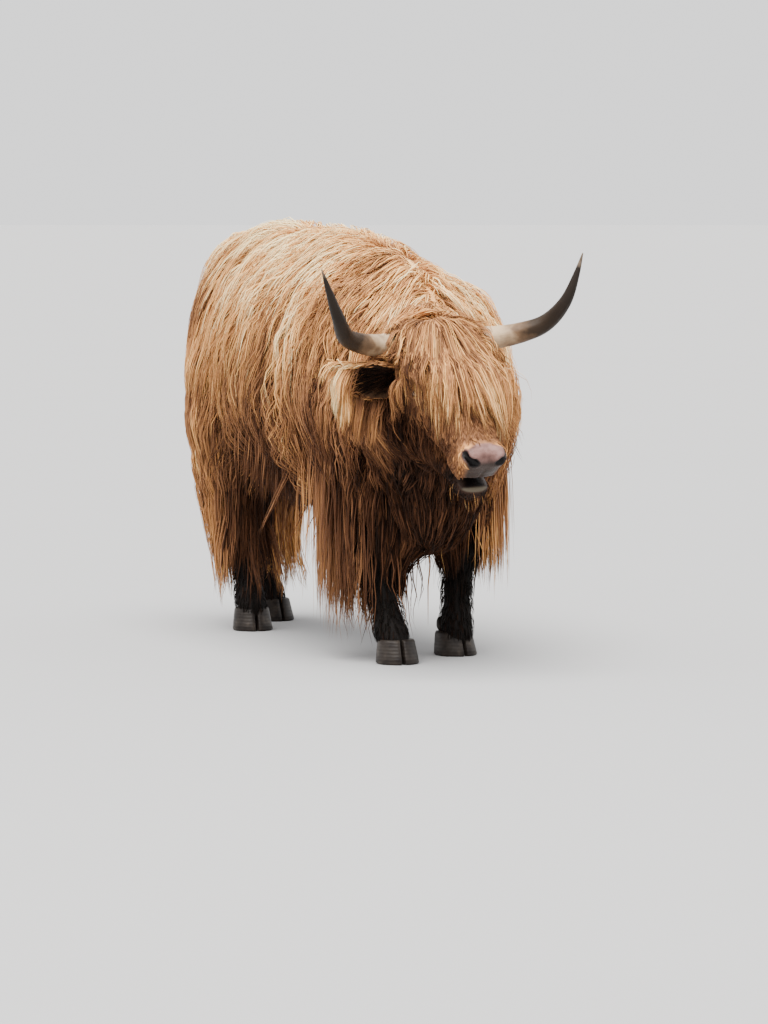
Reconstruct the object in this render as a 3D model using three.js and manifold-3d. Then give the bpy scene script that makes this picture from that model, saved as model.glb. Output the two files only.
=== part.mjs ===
// A highland cow, life size, standing with its head lowered and its neck bent a little to its right.
// Millimetres, +Z up. The cow faces -Y and its left side is +X.
// Each soft solid reaches out to the tips of the coat. Neighbours meet with a thin gap.
import * as THREE from "three";
import Module from "manifold-3d";
import { mergeVertices } from "three/addons/utils/BufferGeometryUtils.js";

const wasm = await Module();
wasm.setup();

// ---- Driving dimensions ----
const GAP = 0.4; // between neighbouring solids
const SLIVER = 0.12; // how far a cut surface may move when its thinnest triangles go
const HIP_HEIGHT = 1203; // top of the coat over the hips
const WITHERS_HEIGHT = 1157; // top of the coat over the shoulders
const BELLY_HEIGHT = 318; // tips of the belly hair
const BARREL_HALF = 342; // half the width of the barrel
const SHOULDER_HALF = 300; // half the width over the shoulders
const RUMP_Y = 790; // back of the rump
const NECK_Y = -430; // plane where the neck leaves the trunk
const HEAD_PLACE = new THREE.Vector3(-126, -858, 913); // the poll, between the horns
const HEAD_TURN = new THREE.Euler(0.838, -0.052, 0, "ZYX"); // nose down, then right side down
const HORN_BASE_RADIUS = 30;
const HORN_TIP_RADIUS = 2.5;
const EYE_RADIUS = 19;
const LOCK_REACH = 136; // from the middle of the face to its outermost lock
const CORONET_HEIGHT = 62; // where a leg meets its hooves
const KNEE_HEIGHT = 300; // where a leg may bend
const LEG_HEIGHT = 800; // inside the trunk
const HEM = 28; // depth of the points that hanging hair ends in

// ---- Colours and finishes ----
const coat = (color) => new THREE.MeshStandardMaterial({ color, roughness: 0.85, metalness: 0 });
const COAT_TAN = coat(0xb5794a);
const COAT_PALE = coat(0xd9b183);
const COAT_RUSSET = coat(0x8a4a28);
const COAT_DARK = coat(0x1f1512);
const NOSE_SKIN = new THREE.MeshStandardMaterial({ color: 0x8f7672, roughness: 0.45, metalness: 0 });
const HORN = new THREE.MeshStandardMaterial({ color: 0xa08d74, roughness: 0.5, metalness: 0 });
const HOOF = new THREE.MeshStandardMaterial({ color: 0x2a2420, roughness: 0.6, metalness: 0 });
const EYE = new THREE.MeshStandardMaterial({ color: 0x14100e, roughness: 0.1, metalness: 0 });

// ---- Sections, lofts and tapers ----

// A station is one section of a body part. Its plane is vertical at tilt 0, facing -Y, and level at tilt 90.
// width is half the breadth; rise and drop reach from the centre to the crown side and the keel side.
const FIELDS = ["x", "y", "z", "width", "rise", "drop", "tilt", "crown", "keel"];
const DEFAULTS = { x: 0, tilt: 0, crown: 2.2, keel: 2.2 };

// A station of a part that lies level, told by its top and its bottom.
function level({ top, bottom, mid, ...rest }) {
  return { z: mid, rise: top - mid, drop: mid - bottom, ...rest };
}

// A function that gives the blended station at any place from 0 to 1 along the part.
function blendStations(stations) {
  const full = stations.map((station) => ({ ...DEFAULTS, ...station }));
  const places = [0];
  for (let i = 1; i < full.length; i++) {
    const [a, b] = [full[i - 1], full[i]];
    places.push(places[i - 1] + Math.hypot(b.x - a.x, b.y - a.y, b.z - a.z));
  }
  const values = full.flatMap((station) => FIELDS.map((field) => station[field]));
  const curve = new THREE.CubicInterpolant(places, values, FIELDS.length);
  const length = places.at(-1);
  return (share) => {
    const found = curve.evaluate(share * length);
    return Object.fromEntries(FIELDS.map((field, i) => [field, found[i]]));
  };
}

// One point of a section, as a superellipse that is squarer where its power is larger.
function sectionPoint(station, angle, grow, reach = 0) {
  const tilt = THREE.MathUtils.degToRad(station.tilt);
  const [cos, sin] = [Math.cos(angle), Math.sin(angle)];
  const power = 2 / (sin > 0 ? station.crown : station.keel);
  const across = (station.width + grow) * Math.sign(cos) * Math.abs(cos) ** power;
  const tall = (sin > 0 ? station.rise : station.drop) + grow + reach;
  const up = tall * Math.sign(sin) * Math.abs(sin) ** power;
  return new THREE.Vector3(
    station.x + across,
    station.y - up * Math.sin(tilt),
    station.z + up * Math.cos(tilt),
  );
}

function middleOf(ring) {
  const sum = new THREE.Vector3();
  ring.forEach((point) => sum.add(point));
  return sum.divideScalar(ring.length);
}

// A closed surface over rings of points, all with the same number of points. Its ends are pushed out by grow.
function skinOver(rings, grow = 0) {
  const sides = rings[0].length;
  for (const [end, next] of [[rings[0], rings[1]], [rings.at(-1), rings.at(-2)]]) {
    const push = middleOf(end).sub(middleOf(next)).setLength(grow);
    end.forEach((point) => point.add(push));
  }
  const points = rings.flat();
  const faces = [];
  for (let i = 0; i + 1 < rings.length; i++) {
    for (let j = 0; j < sides; j++) {
      const [a, b] = [i * sides + j, i * sides + ((j + 1) % sides)];
      faces.push(a, b, b + sides, a, b + sides, a + sides);
    }
  }
  for (const [first, ring, turn] of [[0, rings[0], 1], [points.length - sides, rings.at(-1), 0]]) {
    const centre = points.push(middleOf(ring)) - 1;
    for (let j = 0; j < sides; j++) {
      const [a, b] = [first + j, first + ((j + 1) % sides)];
      faces.push(centre, turn ? b : a, turn ? a : b);
    }
  }
  const geometry = new THREE.BufferGeometry().setFromPoints(points);
  geometry.setIndex(faces);
  return geometry;
}

// A body part through its stations. shag makes the keel side end in locks of that depth, and hem makes the
// last section end in points of that depth.
function loft(stations, { rings, sides, shag = 0, hem = 0, grow = 0 }) {
  const at = blendStations(stations);
  const made = [];
  for (let i = 0; i <= rings; i++) {
    const station = at(i / rings);
    const ring = [];
    for (let j = 0; j < sides; j++) {
      const angle = (2 * Math.PI * (j + 0.5)) / sides;
      const underneath = Math.max(0, -Math.sin(angle)) ** 2;
      const lock = shag * underneath * ((i + j) % 2 ? 0.5 : -0.5);
      const point = sectionPoint(station, angle, grow, lock);
      if (i === rings) point.z += hem * (j % 2 ? 0.5 : -0.5);
      ring.push(point);
    }
    made.push(ring);
  }
  return skinOver(made, grow);
}

// The points of a line written as [x, y, z], or of its mirror image when side is -1.
const toPoints = (line, side = 1) => line.map(([x, y, z]) => new THREE.Vector3(x * side, y, z));

// A round horn, tail or finger of hair along a curve, with its radius at any share of the length.
function taper(points, radiusAt, { rings, sides, grow = 0, flat = 1 }) {
  const curve = new THREE.CatmullRomCurve3(points);
  const frames = curve.computeFrenetFrames(rings, false);
  const made = [];
  for (let i = 0; i <= rings; i++) {
    const centre = curve.getPointAt(i / rings);
    const radius = radiusAt(i / rings) + grow;
    const ring = [];
    for (let j = 0; j < sides; j++) {
      const angle = (2 * Math.PI * j) / sides;
      ring.push(
        centre.clone()
          .addScaledVector(frames.normals[i], radius * Math.cos(angle))
          .addScaledVector(frames.binormals[i], radius * flat * Math.sin(angle)),
      );
    }
    made.push(ring);
  }
  return skinOver(made, grow);
}

// ---- Joining and cutting ----

// The solid of a closed geometry, with its faces turned out.
function solidOf(geometry) {
  const plain = geometry.clone();
  plain.deleteAttribute("normal");
  plain.deleteAttribute("uv");
  const merged = mergeVertices(plain, 1e-3);
  const vertProperties = merged.attributes.position.array;
  const triVerts = new Uint32Array(merged.index.array);
  const made = new wasm.Manifold(new wasm.Mesh({ numProp: 3, vertProperties, triVerts }));
  if (made.volume() > 0) return made;
  for (let i = 0; i < triVerts.length; i += 3) {
    [triVerts[i + 1], triVerts[i + 2]] = [triVerts[i + 2], triVerts[i + 1]];
  }
  return new wasm.Manifold(new wasm.Mesh({ numProp: 3, vertProperties, triVerts }));
}

// The largest piece of what is left of a solid when others are cut away, without slivers.
function trimmed(solid, ...cutters) {
  const left = cutters.reduce((rest, cutter) => rest.subtract(cutter), solid);
  const pieces = left.decompose().sort((a, b) => b.volume() - a.volume());
  return pieces[0].simplify(SLIVER);
}

function meshOf(name, solid, material) {
  const { vertProperties, triVerts } = solid.getMesh();
  const geometry = new THREE.BufferGeometry();
  geometry.setAttribute("position", new THREE.BufferAttribute(vertProperties, 3));
  geometry.setIndex(new THREE.BufferAttribute(triVerts, 1));
  const mesh = new THREE.Mesh(geometry, material);
  mesh.name = name;
  return mesh;
}

// ---- Trunk and neck ----

const NECK_ROOT = {
  y: NECK_Y, top: 1102, bottom: 292, mid: 600, width: SHOULDER_HALF, crown: 1.55, keel: 2.4,
};
const TRUNK_STATIONS = [
  { y: RUMP_Y, top: 1000, bottom: 700, mid: 850, width: 62 },
  { y: RUMP_Y - 16, top: 1082, bottom: 610, mid: 845, width: 138 },
  { y: RUMP_Y - 60, top: 1148, bottom: 505, mid: 830, width: 215, crown: 2.3 },
  { y: 620, top: 1190, bottom: 420, mid: 800, width: 272, crown: 2.2 },
  { y: 450, top: HIP_HEIGHT, bottom: 352, mid: 780, width: 308, crown: 2.1 },
  { y: 220, top: 1199, bottom: BELLY_HEIGHT, mid: 740, width: 338, crown: 1.9, keel: 2.5 },
  { y: 0, top: 1182, bottom: BELLY_HEIGHT - 4, mid: 710, width: BARREL_HALF, crown: 1.8, keel: 2.5 },
  { y: -220, top: WITHERS_HEIGHT, bottom: BELLY_HEIGHT, mid: 660, width: 324, crown: 1.7, keel: 2.5 },
  NECK_ROOT,
].map(level);
const NECK_STATIONS = [
  { ...NECK_ROOT, y: NECK_Y - GAP },
  { y: -540, x: -14, top: 1058, bottom: 264, mid: 600, width: 278, crown: 1.6, keel: 2.2 },
  { y: -640, x: -44, top: 1012, bottom: 286, mid: 620, width: 240, crown: 1.7 },
  { y: -735, x: -82, top: 972, bottom: 400, mid: 670, width: 200, crown: 1.9 },
  { y: -815, x: -112, top: 932, bottom: 520, mid: 720, width: 158, crown: 2.1 },
  { y: -875, x: -124, top: 880, bottom: 610, mid: 745, width: 95 },
].map(level);

const trunkOf = (grow) => solidOf(loft(TRUNK_STATIONS, { rings: 19, sides: 22, shag: HEM, grow }));
const neckOf = (grow) => solidOf(loft(NECK_STATIONS, { rings: 8, sides: 22, shag: HEM, grow }));

// ---- Head, in its own level frame: origin at the poll, nose to -Y, forehead up ----

const HEAD_STATIONS = [
  { y: 62, top: -55, bottom: -150, mid: -100, width: 62 },
  { y: 30, top: -14, bottom: -196, mid: -95, width: 112 },
  { y: -30, top: 6, bottom: -226, mid: -95, width: 128 },
  { y: -110, top: 10, bottom: -252, mid: -98, width: 128 },
  { y: -190, top: 4, bottom: -252, mid: -100, width: 116 },
  { y: -265, top: -6, bottom: -220, mid: -95, width: 96 },
  { y: -325, top: -14, bottom: -162, mid: -80, width: 78 },
  { y: -360, top: -14, bottom: -128, mid: -72, width: 66 },
  { y: -384, top: -14, bottom: -120, mid: -70, width: 62, crown: 2.6, keel: 2.6 },
].map(level);
const MUZZLE_STATIONS = [
  { y: -384 - GAP, top: -14, bottom: -120, mid: -70, width: 62, crown: 2.6, keel: 2.6 },
  { y: -402, top: -14, bottom: -124, mid: -68, width: 63, crown: 2.8, keel: 2.6 },
  { y: -420, top: -22, bottom: -118, mid: -68, width: 57, crown: 2.8, keel: 2.4 },
  { y: -434, top: -40, bottom: -100, mid: -70, width: 42, crown: 2.4, keel: 2.2 },
].map(level);
const JAW_STATIONS = [
  { y: -262, top: -120, bottom: -222, mid: -180, width: 56 },
  { y: -320, top: -142, bottom: -214, mid: -176, width: 52 },
  { y: -370, top: -146, bottom: -206, mid: -172, width: 50 },
  { y: -404, top: -142, bottom: -194, mid: -166, width: 42 },
  { y: -420, top: -148, bottom: -180, mid: -164, width: 26 },
].map(level);
const FORELOCK_STATIONS = [
  { y: 40, top: 2, bottom: -70, mid: -40, width: 92 },
  { y: 5, top: 32, bottom: -70, mid: -40, width: 130 },
  { y: -60, top: 52, bottom: -75, mid: -40, width: 148 },
  { y: -150, top: 48, bottom: -80, mid: -45, width: 142 },
  { y: -220, top: 26, bottom: -75, mid: -48, width: 100 },
].map(level);
const LOCK_COUNT = 6;
const EYE_PLACE = new THREE.Vector3(101, -150, -58);
const NOSTRIL_PLACE = new THREE.Vector3(42, -426, -52);
const NOSTRIL_SIZE = new THREE.Vector3(17, 20, 10);
const NOSTRIL_TURN = 0.5; // radians

const headOf = (grow) => solidOf(loft(HEAD_STATIONS, { rings: 10, sides: 12, grow }));
const jawOf = (grow) => solidOf(loft(JAW_STATIONS, { rings: 5, sides: 12, grow }));

// The hair over the face: a cap at the poll, and locks that hang from it almost to the nose.
function forelockOf(grow) {
  let whole = solidOf(loft(FORELOCK_STATIONS, { rings: 4, sides: 12, grow }));
  for (let i = 0; i < LOCK_COUNT; i++) {
    const x = LOCK_REACH * ((2 * i) / (LOCK_COUNT - 1) - 1);
    const outward = Math.abs(x) / LOCK_REACH;
    const line = toPoints([
      [x * 0.8, -40, 26 - 34 * outward],
      [x, -130, 34 - 50 * outward],
      [x * 1.04, -230, 14 - 68 * outward],
      [x, -352 + 50 * outward, -118 * outward],
    ]);
    const radius = (share) => 39 * (1 - share ** 4) + 6;
    whole = whole.add(solidOf(taper(line, radius, { rings: 4, sides: 6, grow })));
  }
  return whole;
}

// A ball squeezed to half-lengths, placed and turned.
function ball(place, halves, turn, [around, along]) {
  const geometry = new THREE.SphereGeometry(1, around, along);
  const spin = new THREE.Quaternion().setFromEuler(turn);
  return geometry.applyMatrix4(new THREE.Matrix4().compose(place, spin, halves));
}

const HORN_LINE = [
  [92, 8, -50], [134, 0, -42], [179, -11, -28], [238, -20, -3],
  [285, -24, 27], [329, -14, 100], [361, 32, 165], [379, 68, 204],
];
const EAR_LINES = {
  right: [[96, -34, -84], [150, -50, -78], [205, -46, -74], [262, -30, -78], [314, -10, -84]],
  left: [[96, -34, -84], [148, -40, -96], [195, -26, -122], [230, -4, -156], [248, 18, -188]],
};
const EAR_FRINGE = [[0.4, 170], [0.64, 195], [0.88, 150]]; // share along the ear, length of the lock
const DOWN = [-0.743, -0.669]; // the way hair hangs, in the y and z of the head
const SIDES = { left: 1, right: -1 };

// A horn leaves the poll level, bends up past its middle and ends in a point.
function hornOf(name, grow) {
  const radius = (share) => HORN_BASE_RADIUS * (1 - share ** 2.1) * (1 - 0.12 * share) + HORN_TIP_RADIUS;
  return solidOf(taper(toPoints(HORN_LINE, SIDES[name]), radius, { rings: 13, sides: 9, grow }));
}

// An ear with its fringe: a leaf, and locks that hang below it. The left ear is laid back.
function earOf(name, grow) {
  const points = toPoints(EAR_LINES[name], SIDES[name]);
  const curve = new THREE.CatmullRomCurve3(points);
  const radius = (share) => 22 + 24 * Math.sin(Math.PI * Math.min(1, 0.18 + 0.82 * share) ** 1.1) ** 0.8;
  let whole = solidOf(taper(points, radius, { rings: 6, sides: 8, grow, flat: 0.8 }));
  for (const [along, length] of EAR_FRINGE) {
    const root = curve.getPointAt(along);
    const hang = [0, 0.45, 1].map((share) => {
      const outward = SIDES[name] * 16 * share ** 2;
      const drop = new THREE.Vector3(outward, DOWN[0] * length * share, DOWN[1] * length * share);
      return drop.add(root);
    });
    const thick = (share) => 5 + 33 * Math.sin(Math.PI * (0.25 + 0.75 * share)) ** 0.7;
    whole = whole.add(solidOf(taper(hang, thick, { rings: 3, sides: 6, grow })));
  }
  return whole;
}

function eyeOf(name, grow) {
  const place = EYE_PLACE.clone();
  place.x *= SIDES[name];
  const halves = new THREE.Vector3().setScalar(EYE_RADIUS + grow);
  return solidOf(ball(place, halves, new THREE.Euler(), [9, 6]));
}

function nostrilOf(name) {
  const place = NOSTRIL_PLACE.clone();
  place.x *= SIDES[name];
  const slant = new THREE.Euler(0, NOSTRIL_TURN * SIDES[name], NOSTRIL_TURN * SIDES[name]);
  return solidOf(ball(place, NOSTRIL_SIZE, slant, [8, 6]));
}

function buildHead() {
  const head = new THREE.Group();
  head.position.copy(HEAD_PLACE);
  head.rotation.copy(HEAD_TURN);
  head.updateMatrix();

  const names = Object.keys(SIDES);
  const grownHead = headOf(GAP);
  const grownLock = forelockOf(GAP);
  const grownEyes = names.map((name) => eyeOf(name, GAP));
  const grownHorns = names.map((name) => hornOf(name, GAP));
  const muzzle = solidOf(loft(MUZZLE_STATIONS, { rings: 4, sides: 12 }));

  head.add(meshOf("head", trimmed(headOf(0), ...grownEyes), COAT_TAN));
  head.add(meshOf("forelock", trimmed(forelockOf(0), grownHead, ...grownEyes, ...grownHorns), COAT_PALE));
  head.add(meshOf("muzzle", trimmed(muzzle, ...names.map(nostrilOf)), NOSE_SKIN));
  head.add(meshOf("jaw", trimmed(jawOf(0), grownHead), COAT_RUSSET));
  for (const name of names) {
    const ear = trimmed(earOf(name, 0), grownHead, grownLock, ...grownHorns);
    head.add(meshOf(`horn_${name}`, trimmed(hornOf(name, 0), grownHead), HORN));
    head.add(meshOf(`ear_${name}`, ear, COAT_PALE));
    head.add(meshOf(`eye_${name}`, eyeOf(name, 0), EYE));
  }
  const grownEars = names.map((name) => earOf(name, GAP));
  const cutters = [grownHead, jawOf(GAP), grownLock, ...grownHorns, ...grownEars];
  return { head, cutters: cutters.map((solid) => solid.transform(head.matrix.elements)) };
}

// ---- Legs, each about the point where its hooves stand ----

// A level section of a leg. back is where its middle lies behind the hoof; front and rear are its depths.
const legStation = ({ z, out = 0, back = 0, width, front, rear }) => (
  { x: out, y: back, z, width, rise: front, drop: rear, tilt: 90 }
);

const FORELEG = {
  upper: [
    { z: 600, width: 100, front: 110, rear: 120 },
    { z: 450, width: 112, front: 100, rear: 140 },
    { z: 360, out: 8, back: 10, width: 106, front: 92, rear: 140 },
    { z: 275, out: 12, back: 20, width: 88, front: 84, rear: 126 },
    { z: 235, out: 12, back: 24, width: 76, front: 76, rear: 112 },
  ],
  lower: [
    { z: 330, width: 56, front: 52, rear: 74 },
    { z: 250, width: 46, front: 46, rear: 66 },
    { z: 180, width: 39, front: 38, rear: 56 },
    { z: 125, width: 40, front: 38, rear: 46 },
    { z: 92, width: 44, front: 42, rear: 44 },
    { z: CORONET_HEIGHT + GAP, back: -4, width: 44, front: 48, rear: 42 },
  ],
};
const HINDLEG = {
  upper: [
    { z: 800, out: -110, width: 80, front: 90, rear: 120 },
    { z: 660, out: -26, width: 116, front: 160, rear: 170 },
    { z: 510, out: 4, width: 114, front: 128, rear: 160 },
    { z: 400, out: 10, back: 14, width: 102, front: 100, rear: 146 },
  ],
  curtain: [
    { z: 400 - GAP, out: 10, back: 14, width: 102, front: 100, rear: 146 },
    { z: 300, out: 16, back: 24, width: 92, front: 82, rear: 146 },
    { z: 200, out: 18, back: 24, width: 80, front: 68, rear: 136 },
    { z: 140, out: 16, back: 20, width: 66, front: 56, rear: 110 },
  ],
  lower: [
    { z: 220, back: 16, width: 44, front: 42, rear: 52 },
    { z: 150, back: 10, width: 38, front: 36, rear: 44 },
    { z: 92, width: 43, front: 41, rear: 44 },
    { z: CORONET_HEIGHT + GAP, back: -4, width: 43, front: 46, rear: 42 },
  ],
};

const CLAW_WIDTH = 52;
const CLAW_INSET = 6.5; // from the middle of the foot to the inner wall of a claw
const CLAW_LENGTH = 118;
const CLAW_SECTIONS = [
  { z: 0, size: 1, shift: 0 },
  { z: CORONET_HEIGHT, size: 0.84, shift: 12 },
];
const CLAW_SIDES = 11;

// The outline of one claw from above: flat towards its twin, round outside and narrow at the toe.
function clawRing({ z, size, shift }) {
  const ring = [];
  for (let j = 0; j < CLAW_SIDES; j++) {
    const angle = (2 * Math.PI * j) / CLAW_SIDES;
    const along = Math.sin(angle);
    const toe = along > 0 ? 1 - 0.45 * along ** 3 : 1;
    const outer = Math.max(0, Math.cos(angle)) ** 0.7 * toe;
    const inner = Math.min(0, Math.cos(angle)) * 0.12;
    const x = CLAW_INSET + (outer + inner) * CLAW_WIDTH * size;
    ring.push(new THREE.Vector3(x, shift - (along * CLAW_LENGTH * size) / 2, z));
  }
  return ring;
}

// One claw, on the side of the foot that direction points to.
function clawOf(direction) {
  const claw = skinOver(CLAW_SECTIONS.map(clawRing));
  return solidOf(claw.scale(direction, 1, 1));
}

const DEWCLAW_PLACE = new THREE.Vector3(24, 44, 84);
const DEWCLAW_HALVES = new THREE.Vector3(13, 14, 22);
const DEWCLAW_TURN = new THREE.Euler(-0.5, 0, 0);

// A dewclaw, on the side that direction points to and as far back as the leg is there.
function dewclawOf(direction, back, grow) {
  const place = new THREE.Vector3(direction, 1, 1).multiply(DEWCLAW_PLACE);
  place.y += back;
  return solidOf(ball(place, DEWCLAW_HALVES.clone().addScalar(grow), DEWCLAW_TURN, [7, 4]));
}

// For each leg: where its hooves stand, how far its middle lies [out, back] of them at the knee and at
// the top, its stations, and how far the foot turns, in degrees.
const LEGS = [
  { name: "foreleg_right", x: -130, y: -590, knee: [26, 92], top: [105, 150], shape: FORELEG, turn: -6 },
  { name: "foreleg_left", x: 112, y: -448, knee: [14, 0], top: [90, 0], shape: FORELEG, turn: 4 },
  { name: "hindleg_right", x: -135, y: 440, knee: [13, 35], top: [90, 60], shape: HINDLEG, turn: -8 },
  { name: "hindleg_left", x: 42, y: 698, knee: [-8, 34], top: [176, -143], shape: HINDLEG, turn: 6 },
];

// How far the middle of a leg lies from its hoof at a height, from how far it does at the knee and the top.
function bent(z, knee, top) {
  const [low, high] = [KNEE_HEIGHT, LEG_HEIGHT];
  const fromKnee = (knee * z * (high - z)) / (low * (high - low));
  const fromTop = (top * z * (z - low)) / (high * (high - low));
  return fromKnee + fromTop;
}

function buildLeg({ name, x, y, knee, top, shape, turn }, cutters) {
  const side = Math.sign(x);
  const leg = new THREE.Group();
  leg.position.set(x, y, 0);

  // A part of the leg through its stations, moved along the bend of the leg.
  const partOf = (which, rings, options) => {
    const stations = shape[which].map(legStation).map((station) => ({
      ...station,
      x: side * (station.x + bent(station.z, knee[0], top[0])),
      y: station.y + bent(station.z, knee[1], top[1]),
    }));
    const sides = which === "lower" ? 12 : 14;
    return solidOf(loft(stations, { rings, sides, ...options }));
  };
  const clawBack = bent(DEWCLAW_PLACE.z, knee[1], top[1]);
  const around = cutters.map((solid) => solid.translate([-x, -y, 0]));
  const grownClaws = [side, -side].map((direction) => dewclawOf(direction, clawBack, GAP));
  const grownLower = partOf("lower", 6, { grow: GAP });

  const lower = trimmed(partOf("lower", 6), ...grownClaws, ...around);
  leg.add(meshOf(`${name}_lower`, lower, COAT_DARK));
  const upperHem = shape.curtain ? 0 : HEM;
  const upper = trimmed(partOf("upper", 5, { hem: upperHem }), grownLower, ...around);
  leg.add(meshOf(`${name}_upper`, upper, shape.curtain ? COAT_TAN : COAT_RUSSET));
  if (shape.curtain) {
    const curtain = trimmed(partOf("curtain", 4, { hem: HEM }), grownLower, ...grownClaws, ...around);
    leg.add(meshOf(`${name}_curtain`, curtain, COAT_RUSSET));
  }

  const foot = new THREE.Group();
  foot.rotation.z = THREE.MathUtils.degToRad(turn);
  for (const [which, direction] of [["outer", side], ["inner", -side]]) {
    leg.add(meshOf(`${name}_dewclaw_${which}`, dewclawOf(direction, clawBack, 0), HOOF));
    foot.add(meshOf(`${name}_claw_${which}`, clawOf(direction), HOOF));
  }
  leg.add(foot);
  const cutter = partOf("upper", 5, { grow: GAP, hem: upperHem }).translate([x, y, 0]);
  return { leg, cutter };
}

// ---- Hair that hangs from the side of the chest, behind the elbow ----

const FRINGE_STATIONS = [
  { x: 206, y: -330, z: 440, width: 60, rise: 120, drop: 110, tilt: 90 },
  { x: 204, y: -330, z: 340, width: 56, rise: 116, drop: 112, tilt: 90 },
  { x: 192, y: -330, z: 256, width: 44, rise: 98, drop: 96, tilt: 90 },
];
const FRINGE_TIP = { x: 186, y: -318, z: 150, width: 28, rise: 62, drop: 66, tilt: 90 };

// The right fringe is the longer one.
function fringeOf(name, cutters) {
  const whole = name === "right" ? [...FRINGE_STATIONS, FRINGE_TIP] : FRINGE_STATIONS;
  const stations = whole.map((station) => ({ ...station, x: station.x * SIDES[name] }));
  const rings = stations.length;
  return trimmed(solidOf(loft(stations, { rings, sides: 12, hem: HEM })), ...cutters);
}

// ---- Tail ----

const TAIL_LINE = toPoints([
  [0, 690, 1120], [0, 762, 1104], [-4, 812, 1020], [-12, 832, 880], [-18, 836, 720], [-22, 834, 600],
]);
const SWITCH_LINE = toPoints([
  [-22, 834, 600], [-24, 836, 520], [-28, 840, 420], [-34, 838, 320], [-38, 832, 236],
]);

function dockOf(grow) {
  const radius = (share) => 46 - 16 * share;
  return solidOf(taper(TAIL_LINE, radius, { rings: 8, sides: 9, grow }));
}

function switchOf(grow) {
  const radius = (share) => 30 + 34 * Math.sin(Math.PI * share ** 0.8) - 22 * share;
  return solidOf(taper(SWITCH_LINE, radius, { rings: 7, sides: 9, grow }));
}

// ---- The whole cow ----

function buildCow() {
  const cow = new THREE.Group();
  const { head, cutters } = buildHead();
  const body = [trunkOf(GAP), neckOf(GAP)];
  const tail = [dockOf(GAP), switchOf(GAP)];
  const legs = LEGS.map((each) => buildLeg(each, [...body, ...tail]));
  const besideFringe = [...body, ...legs.map(({ cutter }) => cutter)];

  cow.add(head);
  cow.add(meshOf("trunk", trunkOf(0), COAT_TAN));
  cow.add(meshOf("neck", trimmed(neckOf(0), ...cutters), COAT_TAN));
  cow.add(meshOf("tail", trimmed(dockOf(0), body[0]), COAT_TAN));
  cow.add(meshOf("tail_switch", trimmed(switchOf(0), tail[0]), COAT_RUSSET));
  legs.forEach(({ leg }) => cow.add(leg));
  for (const name of Object.keys(SIDES)) {
    cow.add(meshOf(`fringe_${name}`, fringeOf(name, besideFringe), COAT_RUSSET));
  }

  // The origin is on the ground, below the middle of the cow.
  const bounds = new THREE.Box3().setFromObject(cow);
  const middle = bounds.getCenter(new THREE.Vector3());
  cow.position.set(-middle.x, -middle.y, -bounds.min.z);
  return cow;
}

export default buildCow();
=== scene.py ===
"""A life-size highland cow: one skin under a long coat of modelled locks, with horns, hooves and eyes.

Shapes are written in the cow's own frame, in metres: the origin is on the ground below the middle of the
barrel, the cow faces -Y, its left side is +X and up is +Z. The head has a frame of its own, with its origin at
the poll, the nose towards -Y and the forehead up.
"""

import logging
import math
from dataclasses import dataclass, replace
from enum import Enum
from typing import Callable, Sequence

import bpy
import numpy as np
from mathutils import Euler, Matrix, Vector, kdtree


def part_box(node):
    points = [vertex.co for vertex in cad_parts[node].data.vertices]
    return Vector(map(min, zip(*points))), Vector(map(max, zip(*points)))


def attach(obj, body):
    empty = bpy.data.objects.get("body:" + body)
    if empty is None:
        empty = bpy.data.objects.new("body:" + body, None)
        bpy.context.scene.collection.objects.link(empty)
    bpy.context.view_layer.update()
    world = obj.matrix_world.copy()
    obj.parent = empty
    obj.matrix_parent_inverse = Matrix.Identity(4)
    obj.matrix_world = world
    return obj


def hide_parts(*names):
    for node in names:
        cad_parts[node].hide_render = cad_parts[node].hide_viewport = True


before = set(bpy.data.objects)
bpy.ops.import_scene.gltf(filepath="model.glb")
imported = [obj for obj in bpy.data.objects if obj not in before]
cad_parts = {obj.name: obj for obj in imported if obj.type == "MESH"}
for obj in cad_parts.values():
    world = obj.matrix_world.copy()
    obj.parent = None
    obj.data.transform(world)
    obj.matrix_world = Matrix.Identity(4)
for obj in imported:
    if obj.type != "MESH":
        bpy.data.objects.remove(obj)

logging.basicConfig(level=logging.INFO, format="%(message)s")
log = logging.getLogger("cow")

Array = np.ndarray

SEED = 11
BODY = "root"
RUMP_Y = 0.790  # back of the trunk in the cow's frame
HEAD_PLACE = (-0.126, -0.858, 0.913)  # the poll
HEAD_TURN = (0.838, -0.052)  # nose down, then right side down, in radians
SIDES = {"left": 1, "right": -1}
DOWN = np.array([0.0, 0.0, -1.0])
PAD = 0.11  # a form is only measured this near its own box


# ---- Frames and small sums ----


def cow_origin() -> Array:
    """The place of the cow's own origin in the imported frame, read off the trunk."""
    low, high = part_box("trunk")
    return np.array([(low.x + high.x) / 2, high.y - RUMP_Y, 0.0])


def unit(vectors: Array) -> Array:
    """Rows scaled to length one."""
    return vectors / np.maximum(np.linalg.norm(vectors, axis=-1, keepdims=True), 1e-12)


def ease(x: Array, low: float, high: float) -> Array:
    """A smooth step from 0 at low to 1 at high."""
    t = np.clip((x - low) / (high - low), 0, 1)
    return t * t * (3 - 2 * t)


def dot(a: Array, b: Array) -> Array:
    """Row by row dot products."""
    return np.einsum("...i,...i->...", a, b)


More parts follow.
